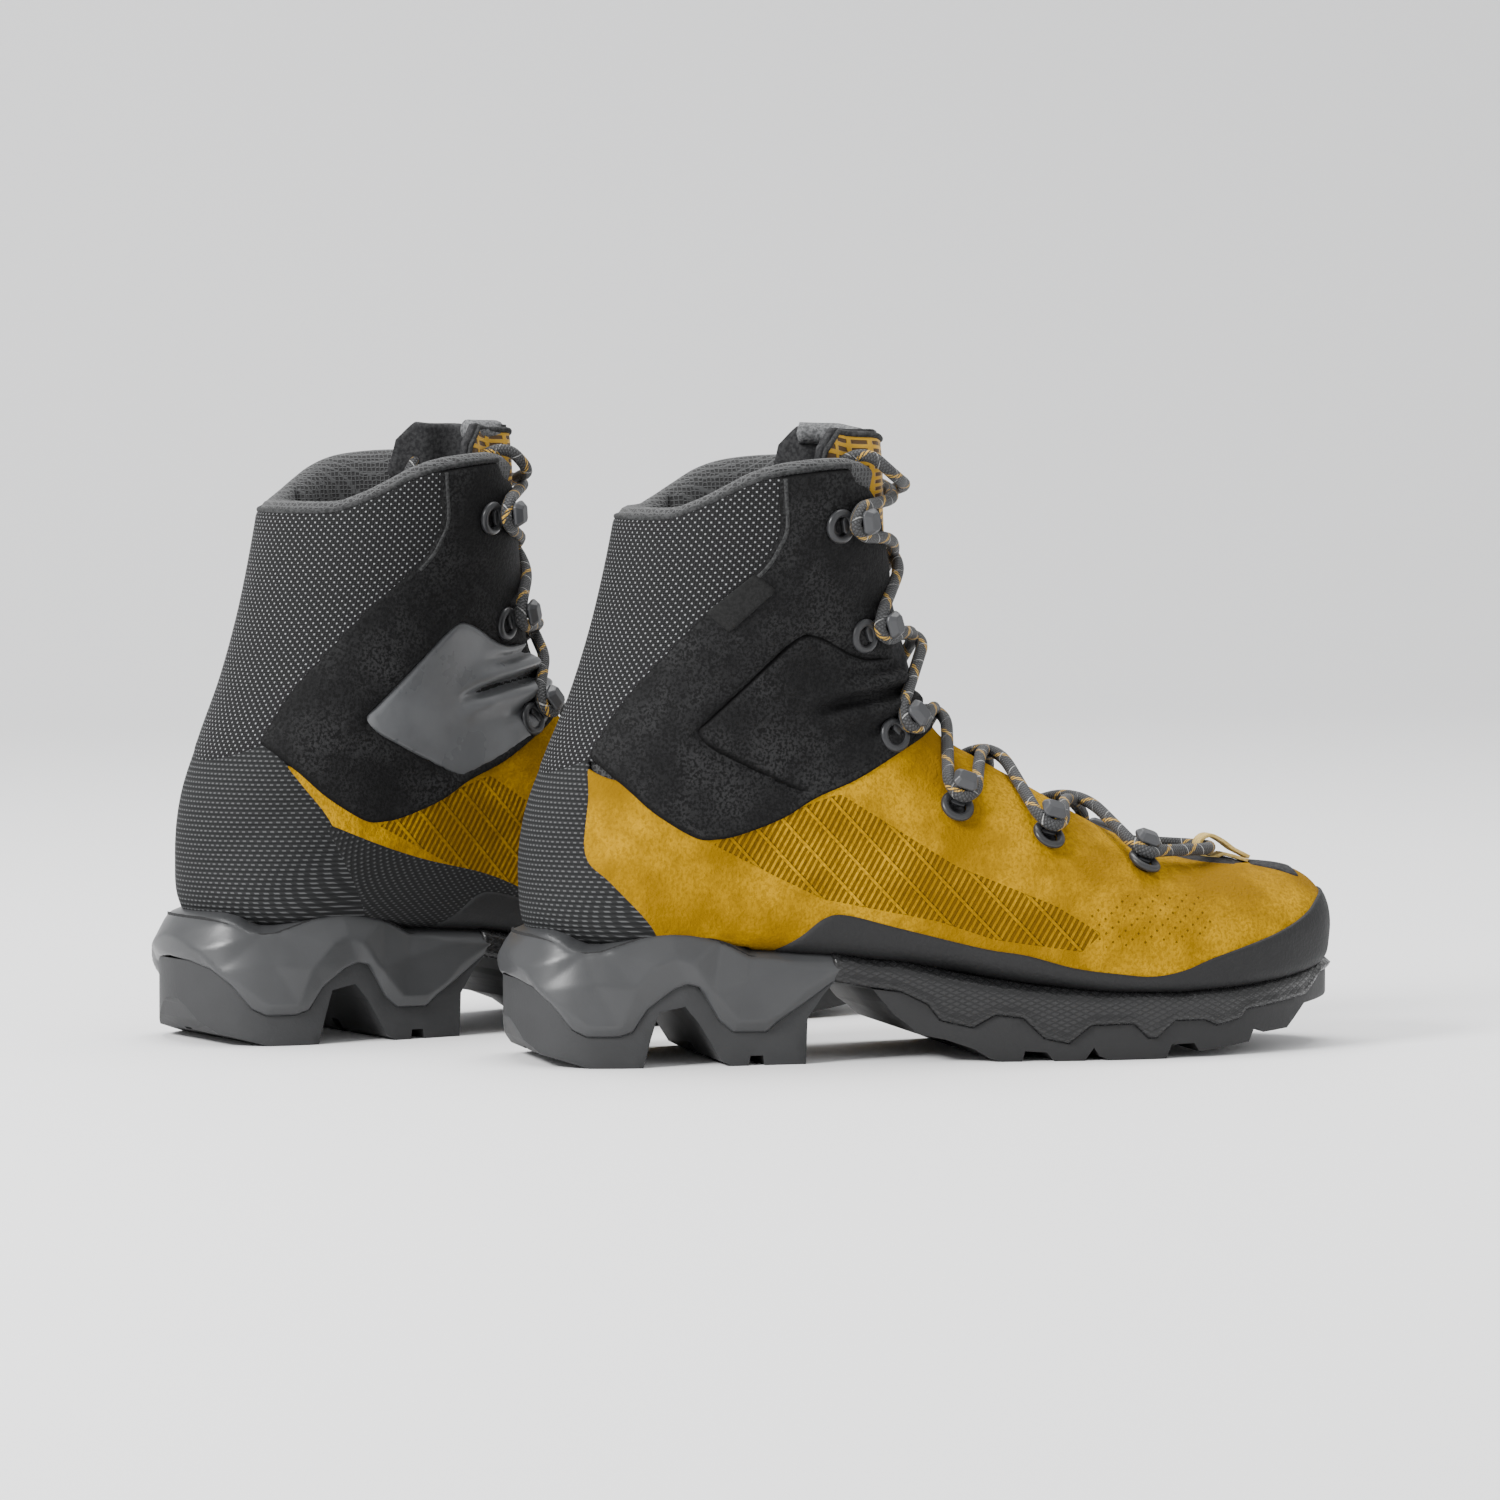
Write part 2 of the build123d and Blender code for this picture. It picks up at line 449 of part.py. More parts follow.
def cord(points):
    radii = corner_radii(points)
    path = FilletPolyline(*points, radius=radii)
    start = Plane(origin=path @ 0, z_dir=path % 0)
    solid = sweep(start * Circle(LACE / 2), path=path)
    print("lace radii", [round(r, 1) for r in radii])
    print("lace length", round(path.length, 1), "volume ratio", solid.volume / (math.pi * LACE**2 / 4 * path.length))
    return solid


first_foot, first_cuff = strand_points(True)
second_foot, second_cuff = strand_points(False)
loop_z = LOOP_CENTRE[1]
under_loop = [Vector(x, y, loop_z) for x, y in LOOP_BEND]
nodes["lace_lower"] = cord(second_foot[::-1] + under_loop + first_foot)
nodes["lace_upper"] = Compound([cord(first_cuff), cord(second_cuff)])

# ---- both boots ---------------------------------------------------------------------------------
pair = {}
left_place = Pos(*LEFT_BOOT_AT, 0) * Rot(0, 0, LEFT_BOOT_TURN)
for name, solid in nodes.items():
    pair["right_" + name] = solid
    pair["left_" + name] = left_place * mirror(solid, about=Plane.XZ)
whole = Compound([Compound(list(shape.solids())) for shape in pair.values()]).bounding_box()
to_origin = Pos(-(whole.min.X + whole.max.X) / 2, -(whole.min.Y + whole.max.Y) / 2, -whole.min.Z)
print("right heel is at", to_origin.position)

os.makedirs("parts", exist_ok=True)
for name, shape in pair.items():
    export_step(to_origin * Compound(list(shape.solids())), f"parts/{name}.step")
    print(name, round(shape.volume), len(shape.solids()), shape.is_valid)
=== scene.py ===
import json
import math
import bpy
import numpy as np
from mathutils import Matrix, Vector
from mathutils.geometry import delaunay_2d_cdt


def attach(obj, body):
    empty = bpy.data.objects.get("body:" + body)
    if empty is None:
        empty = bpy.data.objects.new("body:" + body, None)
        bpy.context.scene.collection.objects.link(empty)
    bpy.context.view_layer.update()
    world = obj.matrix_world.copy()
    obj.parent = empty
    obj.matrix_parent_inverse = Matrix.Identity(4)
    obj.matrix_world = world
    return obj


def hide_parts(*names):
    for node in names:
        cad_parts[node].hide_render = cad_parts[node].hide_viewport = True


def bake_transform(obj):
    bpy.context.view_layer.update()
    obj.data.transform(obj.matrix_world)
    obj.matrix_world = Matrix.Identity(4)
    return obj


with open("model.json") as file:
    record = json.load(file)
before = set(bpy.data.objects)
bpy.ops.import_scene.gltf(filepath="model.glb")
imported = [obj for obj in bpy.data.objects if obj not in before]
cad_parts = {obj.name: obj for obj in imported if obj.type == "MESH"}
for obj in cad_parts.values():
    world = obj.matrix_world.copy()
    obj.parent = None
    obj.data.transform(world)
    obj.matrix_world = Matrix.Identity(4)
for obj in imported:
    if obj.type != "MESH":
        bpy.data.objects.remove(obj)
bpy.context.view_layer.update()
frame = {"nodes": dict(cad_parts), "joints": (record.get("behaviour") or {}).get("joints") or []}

# A pair of mid-height mountaineering boots. Shapes are worked out in each boot's own frame, in millimetres:
# x from the back of the heel to the toe, z up, lateral side towards -y. The left boot mirrors the right.

# back or bottom (x, z), front or top (x, z), lateral and medial half width, shift, flatness of the bottom
stations = np.array([
    (306.0, 36.0, 307.5, 42.0, 4.0, 4.0, 5.0, 0.50),
    (302.5, 30.0, 304.5, 55.0, 17.0, 16.0, 5.0, 0.42),
    (292.0, 26.0, 294.0, 63.0, 30.0, 27.0, 4.5, 0.34),
    (272.0, 22.5, 274.0, 66.0, 42.0, 37.0, 3.0, 0.28),
    (244.0, 20.5, 248.0, 69.5, 50.0, 44.0, 1.0, 0.25),
    (212.0, 20.5, 219.0, 80.5, 53.0, 46.0, 0.0, 0.24),
    (180.0, 24.0, 191.0, 96.5, 50.0, 42.5, 0.0, 0.26),
    (148.0, 29.0, 170.5, 108.5, 44.0, 38.0, 0.0, 0.30),
    (112.0, 33.0, 158.5, 116.5, 40.5, 36.5, 0.0, 0.34),
    (70.0, 36.0, 153.0, 126.5, 39.0, 38.0, 0.0, 0.38),
    (30.0, 37.0, 150.0, 136.5, 38.5, 38.5, 0.0, 0.42),
    (10.0, 45.0, 147.5, 146.0, 38.5, 38.5, 0.0, 0.44),
    (6.0, 64.0, 145.5, 153.0, 39.0, 39.0, 0.0, 0.46),
    (8.0, 86.0, 143.0, 162.0, 40.0, 40.0, 0.0, 0.48),
    (16.0, 108.0, 141.0, 171.0, 41.0, 41.0, 0.0, 0.50),
    (25.0, 129.0, 139.5, 180.0, 42.0, 42.0, 0.0, 0.50),
    (32.5, 152.0, 138.5, 189.0, 42.5, 42.5, 0.0, 0.50),
    (38.0, 174.0, 138.0, 200.0, 43.0, 43.0, 0.0, 0.50),
    (42.0, 194.0, 137.5, 212.0, 43.0, 43.0, 0.0, 0.50),
    (45.0, 214.0, 136.0, 228.0, 43.0, 43.0, 0.0, 0.50),
])
ankle = np.array((70.0, 0.0, 118.0))
tongueFoot = np.array((139.0, 0.0, 160.0))
fullRows = np.array([(0, 0.5), (1, 0.9), (4, 1), (10.3, 1), (11.2, 0.5), (12.2, 0)])   # fuller towards the sole
toeDome = 0.6          # share of a station by which the toe is rounded off in front of the first one
step = 1.7
turnScale = 0.75       # millimetres of girth that one degree of turn stands for when a panel is cut
collarTop = [(20, 192.5), (49, 192.5), (58, 195), (68.5, 200), (78.5, 205), (90.5, 208.5), (108, 210.5),
             (120, 210.5), (130, 208), (160, 200)]
collarFront = [(86.5, 240), (88, 204), (88.5, 190), (85.5, 182.5), (80, 174.5), (64, 160.5), (50.5, 146),
               (36, 128), (24.7, 109)]
ankleLower = [(24.7, 109), (36.4, 97.5), (46.3, 88.5), (59.5, 80.6), (67.6, 80), (76.6, 81.7), (92, 87.3),
              (104, 94), (119.4, 100), (136.4, 108.7), (150, 115.3), (170, 126)]
heelFront = [(24.7, 109), (24.3, 96), (22.9, 75), (30.3, 65.7), (44.7, 49.7), (50, 36)]
randTop = [(90, 40.7), (98, 45.7), (106.2, 51.8), (114.4, 52.8), (132.9, 48), (162.8, 40.4), (178, 37.8),
           (195.6, 33), (212.4, 30.6), (224.4, 29.5), (236.3, 31.2), (249, 35.5), (275.3, 42.5), (289.7, 48),
           (301, 54.5), (320, 60)]
randFoot = [(88, 34), (112, 34), (134, 29), (165, 22), (204, 17.5), (236, 16.5), (262, 18), (285, 21), (300, 24)]
rowPlaces = [(226.5, 70.5), (189.5, 83.0), (158.0, 95.0), (140.5, 120.5), (130.0, 154.5), (118.5, 192.0)]
ringGaps = [7.0, 7.0, 7.5, 9.5, 9.5, 8.5]    # from each post back to the middle of its ring


# the last and its places
def stationAt(s):
    # Catmull-Rom through the table of stations: a cubic in the share of the way from one to the next
    s = np.asarray(s, float)
    last = len(stations) - 1
    i = np.clip(s.astype(int), 0, last - 1)
    t = (np.clip(s, 0, last) - i)[..., None]
    p, q, r, e = (stations[np.clip(i + k, 0, last)] for k in (-1, 0, 1, 2))
    return 0.5 * (2 * q + (r - p) * t + (2 * p - 5 * q + 4 * r - e) * t**2 + (3 * q - p - 3 * r + e) * t**3)


def skin(s, turn, inset=0.0):
    # share = (1 - cos turn) / 2 of the way from the bottom to the top of the section; half width =
    # share^flat * (1 - share)^0.5 over its greatest value; below station 0 the section shrinks as a dome
    s, turn, inset = np.broadcast_arrays(np.asarray(s, float), np.asarray(turn, float), np.asarray(inset, float))
    xb, zb, xf, zf, lateral, medial, shift, flat = np.moveaxis(stationAt(s), -1, 0)
    length = np.hypot(xf - xb, zf - zb)
    half = length / 2 - np.minimum(inset, 0.4 * length)
    share = (1 - np.cos(np.radians(turn))) / 2
    peak = flat / (flat + 0.5)
    width = share**flat * (1 - share) ** 0.5 / (peak**flat * (1 - peak) ** 0.5)
    full = np.where(share < peak, 1 - np.clip(1 - share / peak, 0, 1) ** 10, 0)
    width = width + (np.maximum(full, width) - width) * np.interp(s, fullRows[:, 0], fullRows[:, 1])
    onLateral = np.mod(turn, 360) <= 180
    reach = np.maximum(np.where(onLateral, lateral, medial) - inset, 0.4 * lateral)
    dome = np.sqrt(np.clip(1 - (np.minimum(s, 0) / toeDome) ** 2, 0.0004, 1))
    y = shift + np.where(onLateral, -1, 1) * width * reach * dome
    along = (2 * share - 1) * half / length * dome
    backOff = inset * np.clip(1 - s / 3, 0, 1) + 1.6 * np.minimum(s, 0) / toeDome
    return np.stack([(xb + xf) / 2 - backOff + along * (xf - xb), y, (zb + zf) / 2 + along * (zf - zb)], -1)


def skinNormal(s, turn):
    # across the two central differences of the surface, outwards
    across = skin(s, turn + 0.5) - skin(s, turn - 0.5)
    up = skin(s + 0.02, turn) - skin(s - 0.02, turn)
    normal = np.cross(across, up)
    return normal / np.maximum(np.linalg.norm(normal, axis=-1, keepdims=True), 1e-9)


def placeOf(places):
    # station by bisection on the side of the fan line, then turn from the share of the way along it
    x, z = np.asarray(places, float).T
    low, high = np.zeros(len(x)), np.full(len(x), len(stations) - 1.0)
    for _ in range(34):
        middle = (low + high) / 2
        xb, zb, xf, zf = stationAt(middle).T[:4]
        ahead = (xf - xb) * (z - zb) - (zf - zb) * (x - xb) > 0
        low, high = np.where(ahead, middle, low), np.where(ahead, high, middle)
    xb, zb, xf, zf = stationAt(low).T[:4]
    share = ((x - xb) * (xf - xb) + (z - zb) * (zf - zb)) / ((xf - xb) ** 2 + (zf - zb) ** 2)
    return np.stack([low, np.degrees(np.arccos(1 - 2 * np.clip(share, 0.0001, 0.9999)))], -1)


def turnAcross(s, y):
    # the turn on the front of the section where the lateral side is |y| from the middle, by bisection
    low, high = np.full(len(s), 100.0), np.full(len(s), 180.0)
    for _ in range(26):
        middle = (low + high) / 2
        wide = np.abs(skin(s, middle)[:, 1]) > y
        low, high = np.where(wide, middle, low), np.where(wide, high, middle)
    return low


def smooth(points, spacing=1.5, closed=False):
    # Catmull-Rom through the points, then equal steps along its length
    points = np.asarray(points, float)
    ends = (points[-1:], points[:2]) if closed else (2 * points[:1] - points[1:2], 2 * points[-1:] - points[-2:-1])
    around = np.concatenate([ends[0], points, ends[1]] + ([] if closed else []))
    t = np.linspace(0, 1, 12, endpoint=False)[None, :, None]
    p, q, r, e = (around[k: len(around) - 3 + k][:, None] for k in range(4))
    fine = 0.5 * (2 * q + (r - p) * t + (2 * p - 5 * q + 4 * r - e) * t**2 + (3 * q - p - 3 * r + e) * t**3)
    fine = fine.reshape(-1, points.shape[1])
    if not closed:
        fine = np.concatenate([fine, points[-1:]])
    return evenly(fine, spacing, closed)


def evenly(points, spacing, closed=False):
    # the polyline walked in equal steps
    path = np.concatenate([points, points[:1]]) if closed else points
    run = np.concatenate([[0], np.cumsum(np.linalg.norm(np.diff(path, axis=0), axis=1))])
    count = max(2, int(round(run[-1] / spacing)))
    at = np.linspace(0, run[-1], count + 1)
    at = at[:-1] if closed else at
    return np.stack([np.interp(at, run, path[:, k]) for k in range(path.shape[1])], -1)


stationGrid = np.linspace(-toeDome, len(stations) - 1, 400)
flankLine = (skin(stationGrid, 80.0) + skin(stationGrid, 120.0)) / 2
stationRun = np.concatenate([[0], np.cumsum(np.linalg.norm(np.diff(flankLine, axis=0), axis=1))])


def toCut(places):
    # (station, turn) to the flat pattern a panel is cut in
    places = np.asarray(places, float)
    return np.stack([places[..., 1] * turnScale, np.interp(places[..., 0], stationGrid, stationRun)], -1)


def fromCut(flat):
    # the way back: station from the run by interpolation, turn = across / scale
    return np.stack([np.interp(flat[..., 1], stationRun, stationGrid), flat[..., 0] / turnScale], -1)


def seam(points, spacing=1.5):
    # a seam seen from the side, as (station, turn) on the lateral side
    return placeOf(smooth(points, spacing))


def otherSide(places, full=360.0):
    # the same seam on the medial side, walked the other way
    return np.stack([places[::-1, 0], full - places[::-1, 1]], -1)


def insideOf(points, outline):
    # even-odd rule: how many edges of the outline a line to the right of the point crosses
    a, b = outline, np.roll(outline, -1, 0)
    found = np.zeros(len(points), bool)
    for k in range(0, len(points), 4096):
        x, y = points[k: k + 4096, 0, None], points[k: k + 4096, 1, None]
        spans = (a[:, 1] > y) != (b[:, 1] > y)
        rise = np.where(np.abs(b[:, 1] - a[:, 1]) < 1e-12, 1e-12, b[:, 1] - a[:, 1])
        crossing = a[:, 0] + (y - a[:, 1]) * (b[:, 0] - a[:, 0]) / rise
        found[k: k + 4096] = (spans & (x < crossing)).sum(1) % 2 == 1
    return found


def gapTo(points, outline, closed=True):
    # distance to the nearest edge of the outline
    a = outline if closed else outline[:-1]
    b = np.roll(outline, -1, 0) if closed else outline[1:]
    gap = np.empty(len(points))
    edge = b - a
    size = np.maximum((edge**2).sum(1), 1e-12)
    for k in range(0, len(points), 2048):
        off = points[k: k + 2048, None] - a[None]
        share = np.clip((off * edge).sum(-1) / size, 0, 1)
        gap[k: k + 2048] = np.sqrt(((off - share[..., None] * edge) ** 2).sum(-1).min(1))
    return gap


# from a boot's frame to the room
def bootPlace(side):
    joint = [j for j in frame["joints"] if j["name"] == side + "_ankle_flex"][0]
    turn = math.atan2(-joint["axis"][0], joint["axis"][1])
    return np.array(joint["pos_m"]), turn


bootPlaces = {side: bootPlace(side) for side in ("right", "left")}


def place(points, side):
    # mirror the left boot, turn it about the upright, and set its ankle where the joint is
    at, turn = bootPlaces[side]
    off = (np.asarray(points, float) - ankle) * (1, -1 if side == "left" else 1, 1) * 0.001
    c, n = math.cos(turn), math.sin(turn)
    return np.stack([c * off[..., 0] - n * off[..., 1], n * off[..., 0] + c * off[..., 1], off[..., 2]], -1) + at


def makeMesh(name, side, points, faces, material, uv=None, values=None, smoothed=True):
    # faces is a list of index arrays, each (count, corners); the mirrored boot's faces are turned round
    mesh = bpy.data.meshes.new(name)
    groups = [np.asarray(f)[:, ::-1] if side == "left" else np.asarray(f) for f in faces if len(f)]
    loops = np.concatenate([g.ravel() for g in groups]).astype(np.int32)
    sizes = np.concatenate([np.full(len(g), g.shape[1]) for g in groups])
    starts = np.concatenate([[0], np.cumsum(sizes)[:-1]]).astype(np.int32)
    mesh.vertices.add(len(points))
    mesh.vertices.foreach_set("co", place(points, side).astype(np.float32).ravel())
    mesh.loops.add(len(loops))
    mesh.loops.foreach_set("vertex_index", loops)
    mesh.polygons.add(len(sizes))
    mesh.polygons.foreach_set("loop_start", starts)
    mesh.update(calc_edges=True)
    for label, pairs in (uv or {}).items():
        layer = mesh.uv_layers.new(name=label)
        layer.data.foreach_set("uv", pairs[loops].astype(np.float32).ravel())
    for label, numbers in (values or {}).items():
        mesh.attributes.new(label, "FLOAT", "POINT").data.foreach_set("value", numbers.astype(np.float32))
    mesh.polygons.foreach_set("use_smooth", np.full(len(sizes), smoothed))
    mesh.materials.append(material)
    made = bpy.data.objects.new(name, mesh)
    bpy.context.scene.collection.objects.link(made)
    return made


def spread(outline, spacing, rows=()):
    # points for a flat pattern: its outline, rows beside the edge, and a triangular lattice inside
    low, high = outline.min(0), outline.max(0)
    across = np.arange(low[0], high[0], spacing)
    up = np.arange(low[1], high[1], spacing * 0.866)
    gridX, gridY = np.meshgrid(across, up)
    gridX = gridX + (np.arange(len(up)) % 2)[:, None] * spacing / 2
    lattice = np.stack([gridX.ravel(), gridY.ravel()], -1)
    lattice = lattice[insideOf(lattice, outline)]
    lattice = lattice[gapTo(lattice, outline) > (rows[-1] if rows else 0) + 0.45 * spacing]
    ahead, behind = np.roll(outline, -1, 0), np.roll(outline, 1, 0)
    along = ahead - behind
    along = along / np.maximum(np.linalg.norm(along, axis=1, keepdims=True), 1e-9)
    normal = np.stack([-along[:, 1], along[:, 0]], -1)
    area = (outline[:, 0] * ahead[:, 1] - ahead[:, 0] * outline[:, 1]).sum()
    normal = normal if area > 0 else -normal
    extra = []
    for row in rows:
        moved = outline + normal * row
        keep = insideOf(moved, outline)
        keep[keep] = gapTo(moved[keep], outline) > 0.8 * row
        extra.append(moved[keep])
    return np.concatenate([lattice] + extra)


def tube(path, radius, corners=12, closed=False, flatten=1.0, up=(0, 0, 1)):
    # rings carried along the path; each ring's first direction is the last one's, made square to the path
    path = np.asarray(path, float)
    radius = np.broadcast_to(np.asarray(radius, float), len(path))
    along = np.roll(path, -1, 0) - np.roll(path, 1, 0)
    if not closed:
        along[0], along[-1] = path[1] - path[0], path[-1] - path[-2]
    along = along / np.linalg.norm(along, axis=1, keepdims=True)
    side = np.empty_like(path)
    now = np.cross(along[0], up)
    if np.linalg.norm(now) < 1e-6:
        now = np.cross(along[0], (1, 0, 0))
    for k, direction in enumerate(along):
        now = now - direction * (now @ direction)
        now = now / np.linalg.norm(now)
        side[k] = now
    other = np.cross(along, side)
    angle = np.linspace(0, 2 * np.pi, corners, endpoint=False)
    ring = side[:, None] * np.cos(angle)[:, None] + other[:, None] * (np.sin(angle) * flatten)[:, None]
    points = (path[:, None] + ring * radius[:, None, None]).reshape(-1, 3)
    rows, count = len(path), corners
    k, j = np.meshgrid(np.arange(rows if closed else rows - 1), np.arange(count), indexing="ij")
    n, m = (k + 1) % rows, (j + 1) % count
    faces = [np.stack([k * count + j, k * count + m, n * count + m, n * count + j], -1).reshape(-1, 4)]
    run = np.concatenate([[0], np.cumsum(np.linalg.norm(np.diff(path, axis=0), axis=1))])
    uv = np.stack([np.repeat(run, count), np.tile(angle / (2 * np.pi), rows)], -1)
    if not closed:
        tips = np.array([path[0] - along[0] * radius[0] * 0.25, path[-1] + along[-1] * radius[-1] * 0.25])
        points = np.concatenate([points, tips])
        uv = np.concatenate([uv, uv[[0, -1]]])
        j = np.arange(count)
        m = (j + 1) % count
        first, last = rows * count, rows * count + 1
        faces.append(np.concatenate([np.stack([np.full(count, first), m, j], -1),
                                     np.stack([np.full(count, last), (rows - 1) * count + j,
                                               (rows - 1) * count + m], -1)]))
    return {"points": points, "faces": faces, "uv": {"cloth": uv}, "values": {}}


def together(parts):
    # several meshes as one
    points, faces, start = [], {}, 0
    for part in parts:
        points.append(part["points"])
        for group in part["faces"]:
            faces.setdefault(group.shape[1], []).append(group + start)
        start += len(part["points"])
    labels = parts[0]["uv"]
    return {"points": np.concatenate(points), "faces": [np.concatenate(g) for g in faces.values()],
            "uv": {label: np.concatenate([p["uv"][label] for p in parts]) for label in labels},
            "values": {label: np.concatenate([p["values"][label] for p in parts]) for label in parts[0]["values"]}}


def gridFaces(rows, columns, wrapRows=False, wrapColumns=False):
    # four-cornered faces of a grid of points, row after row
    k, j = np.meshgrid(np.arange(rows if wrapRows else rows - 1), np.arange(columns if wrapColumns else columns - 1),
                       indexing="ij")
    n, m = (k + 1) % rows, (j + 1) % columns
    return np.stack([k * columns + j, k * columns + m, n * columns + m, n * columns + j], -1).reshape(-1, 4)


# materials
def add(tree, kind, wires=None, out=0, **settings):
    # a shader node; wires are sockets to link or constants to set; the answer is its output socket
    made = tree.nodes.new("ShaderNode" + kind)
    for key, value in settings.items():
        setattr(made, key, value)
    for key, value in (wires or {}).items():
        if isinstance(value, bpy.types.NodeSocket):
            tree.links.new(value, made.inputs[key])
        else:
            made.inputs[key].default_value = value
    return made.outputs[out]


def sums(tree, operation, a, b=0.0, c=0.0):
    # one sum of two or three numbers or sockets
    return add(tree, "Math", {0: a, 1: b, 2: c}, operation=operation)


def ramp(tree, value, low, high, a=0.0, b=1.0):
    # a smooth step of the value from low to high
    return add(tree, "MapRange", {"Value": value, "From Min": low, "From Max": high, "To Min": a, "To Max": b},
               interpolation_type="SMOOTHSTEP")


def mix(tree, share, a, b):
    # colour a * (1 - share) + colour b * share
    return add(tree, "Mix", {0: share, 6: a, 7: b}, out=2, data_type="RGBA")


def shade(tree, colour, amount):
    # a colour constant made lighter or darker
    return tuple(min(1.0, c * amount) for c in colour[:3]) + (1.0,)


def cloth(tree, name="cloth", along=0.0):
    # the two coordinates, in millimetres, of the flat pattern or of the side view, turned by an angle
    uv = add(tree, "UVMap", uv_map=name)
    x, y = (add(tree, "SeparateXYZ", {0: uv}, out=k) for k in (0, 1))
    if along:
        c, n = math.cos(math.radians(along)), math.sin(math.radians(along))
        return (sums(tree, "ADD", sums(tree, "MULTIPLY", x, c), sums(tree, "MULTIPLY", y, n)),
                sums(tree, "ADD", sums(tree, "MULTIPLY", x, -n), sums(tree, "MULTIPLY", y, c)))
    return x, y


def wave(tree, value, pitch, offset=0.0):
    # 0 at each multiple of the pitch and 1 half-way between
    moved = sums(tree, "ADD", value, offset) if offset else value
    return sums(tree, "MULTIPLY", sums(tree, "PINGPONG", moved, pitch / 2), 2 / pitch)


def grain(tree, scale, detail=4.0, rough=0.6, vector=None, out=0):
    # noise over the object, scale in bumps per metre
    vector = vector or add(tree, "TexCoord", out=3)
    return add(tree, "TexNoise", {"Vector": vector, "Scale": scale, "Detail": detail, "Roughness": rough}, out=out)


def both(tree, a, b):
    # a * b: 1 only where both are
    return sums(tree, "MULTIPLY", a, b)


def finish(tree, colour, rough, height=None, depth=0.0002, **more):
    # the surface: a principled shader with a bump of the given height
    wires = {"Base Color": colour, "Roughness": rough}
    wires.update(more)
    if height is not None:
        wires["Normal"] = add(tree, "Bump", {"Strength": 1.0, "Distance": depth, "Height": height})
    surface = add(tree, "BsdfPrincipled", wires)
    add_output = tree.nodes.new("ShaderNodeOutputMaterial")
    tree.links.new(surface, add_output.inputs["Surface"])


def material(name, build):
    # an empty node tree, filled in by the builder function
    made = bpy.data.materials.new(name)
    made.use_nodes = True
    made.node_tree.nodes.clear()
    build(made.node_tree)
    return made


nubuckLook = {"colour": (0.45, 0.245, 0.001), "dark": (0.20, 0.102, 0.0005), "slot": (0.085, 0.042, 0.001),
              "pitch": 2.15, "row": 9.0, "slotAngle": 60.0, "roughness": 0.86}


def nubuck(tree):
    # brushed leather: cloudy colour, fine nap, the slotted ladder band where the band value is above 0, and painted
    # shade along the panel rim
    look = nubuckLook
    cloud = grain(tree, 26.0, 5.0, 0.62)
    nap = grain(tree, 760.0, 2.0, 0.6)
    coarse = grain(tree, 200.0, 3.0, 0.6)
    colour = mix(tree, ramp(tree, cloud, 0.36, 0.66), look["dark"] + (1.0,), look["colour"] + (1.0,))
    colour = mix(tree, ramp(tree, nap, 0.38, 0.56), mix(tree, 0.45, look["dark"] + (1.0,), colour), colour)
    band = add(tree, "Attribute", out=2, attribute_name="band")
    edge = add(tree, "Attribute", out=2, attribute_name="edge")
    along, across = cloth(tree, "side", look["slotAngle"])
    slots = ramp(tree, wave(tree, across, look["pitch"]), 0.42, 0.56)
    bars = cloth(tree, "side", -47.0)[1]
    between = ramp(tree, wave(tree, bars, look["row"]), 0.10, 0.20)
    inBand = ramp(tree, band, 0.0, 0.35)
    slot = both(tree, both(tree, slots, between), inBand)
    perforation = add(tree, "Attribute", out=2, attribute_name="perforation")
    px, py = cloth(tree, "side", 38.0)
    hole = both(tree, ramp(tree, wave(tree, px, 3.1), 0.74, 0.84), ramp(tree, wave(tree, py, 3.9), 0.80, 0.88))
    hole = both(tree, hole, ramp(tree, perforation, 0.0, 0.5))
    dent = sums(tree, "MAXIMUM", slot, hole)
    colour = mix(tree, both(tree, dent, 0.85), colour, look["slot"] + (1.0,))
    # painted shade: within 0.9 mm of the panel rim, most of which tucks under the neighbouring panels, the colour is
    # drawn up to 0.45 of the way to the dark tone
    colour = mix(tree, ramp(tree, edge, 0.15, 0.9, 0.45, 0.0), colour, look["dark"] + (1.0,))
    height = sums(tree, "ADD", sums(tree, "MULTIPLY", nap, 1.1), sums(tree, "MULTIPLY", coarse, 0.9))
    height = sums(tree, "SUBTRACT", height, sums(tree, "MULTIPLY", dent, 1.6))
    raisedBars = both(tree, inBand, sums(tree, "SUBTRACT", 1.0, between))
    height = sums(tree, "ADD", height, sums(tree, "MULTIPLY", raisedBars, 0.8))
    finish(tree, colour, look["roughness"], height, 0.00055,
           **{"Specular IOR Level": 0.08})


blackLook = {"colour": (0.008, 0.008, 0.0083), "light": (0.022, 0.022, 0.0225), "roughness": 0.74}


def microfibre(tree):
    # suede-like cloth: a mottled nap, a soft sheen, and painted shade along the panel rim
    look = blackLook
    cloud = grain(tree, 34.0, 6.0, 0.7)
    nap = grain(tree, 950.0, 2.0, 0.6)
    edge = add(tree, "Attribute", out=2, attribute_name="edge")
    colour = mix(tree, ramp(tree, cloud, 0.38, 0.68), look["colour"] + (1.0,), look["light"] + (1.0,))
    colour = mix(tree, ramp(tree, nap, 0.40, 0.58), shade(tree, look["colour"], 0.55), colour)
    # painted shade: within 1.5 mm of the panel rim the colour is drawn up to 0.85 of the way to a copy of the black at
    # 0.3 of its brightness
    colour = mix(tree, ramp(tree, edge, 0.3, 1.5, 0.85, 0.0), colour, shade(tree, look["colour"], 0.3))
    height = sums(tree, "ADD", sums(tree, "MULTIPLY", nap, 0.8), sums(tree, "MULTIPLY", grain(tree, 420.0), 0.9))
    finish(tree, colour, look["roughness"], height, 0.00045,
           **{"Specular IOR Level": 0.12})


meshLook = {"colour": (0.014, 0.014, 0.0145), "dot": (0.24, 0.245, 0.25), "pitch": 2.7, "roughness": 0.82}


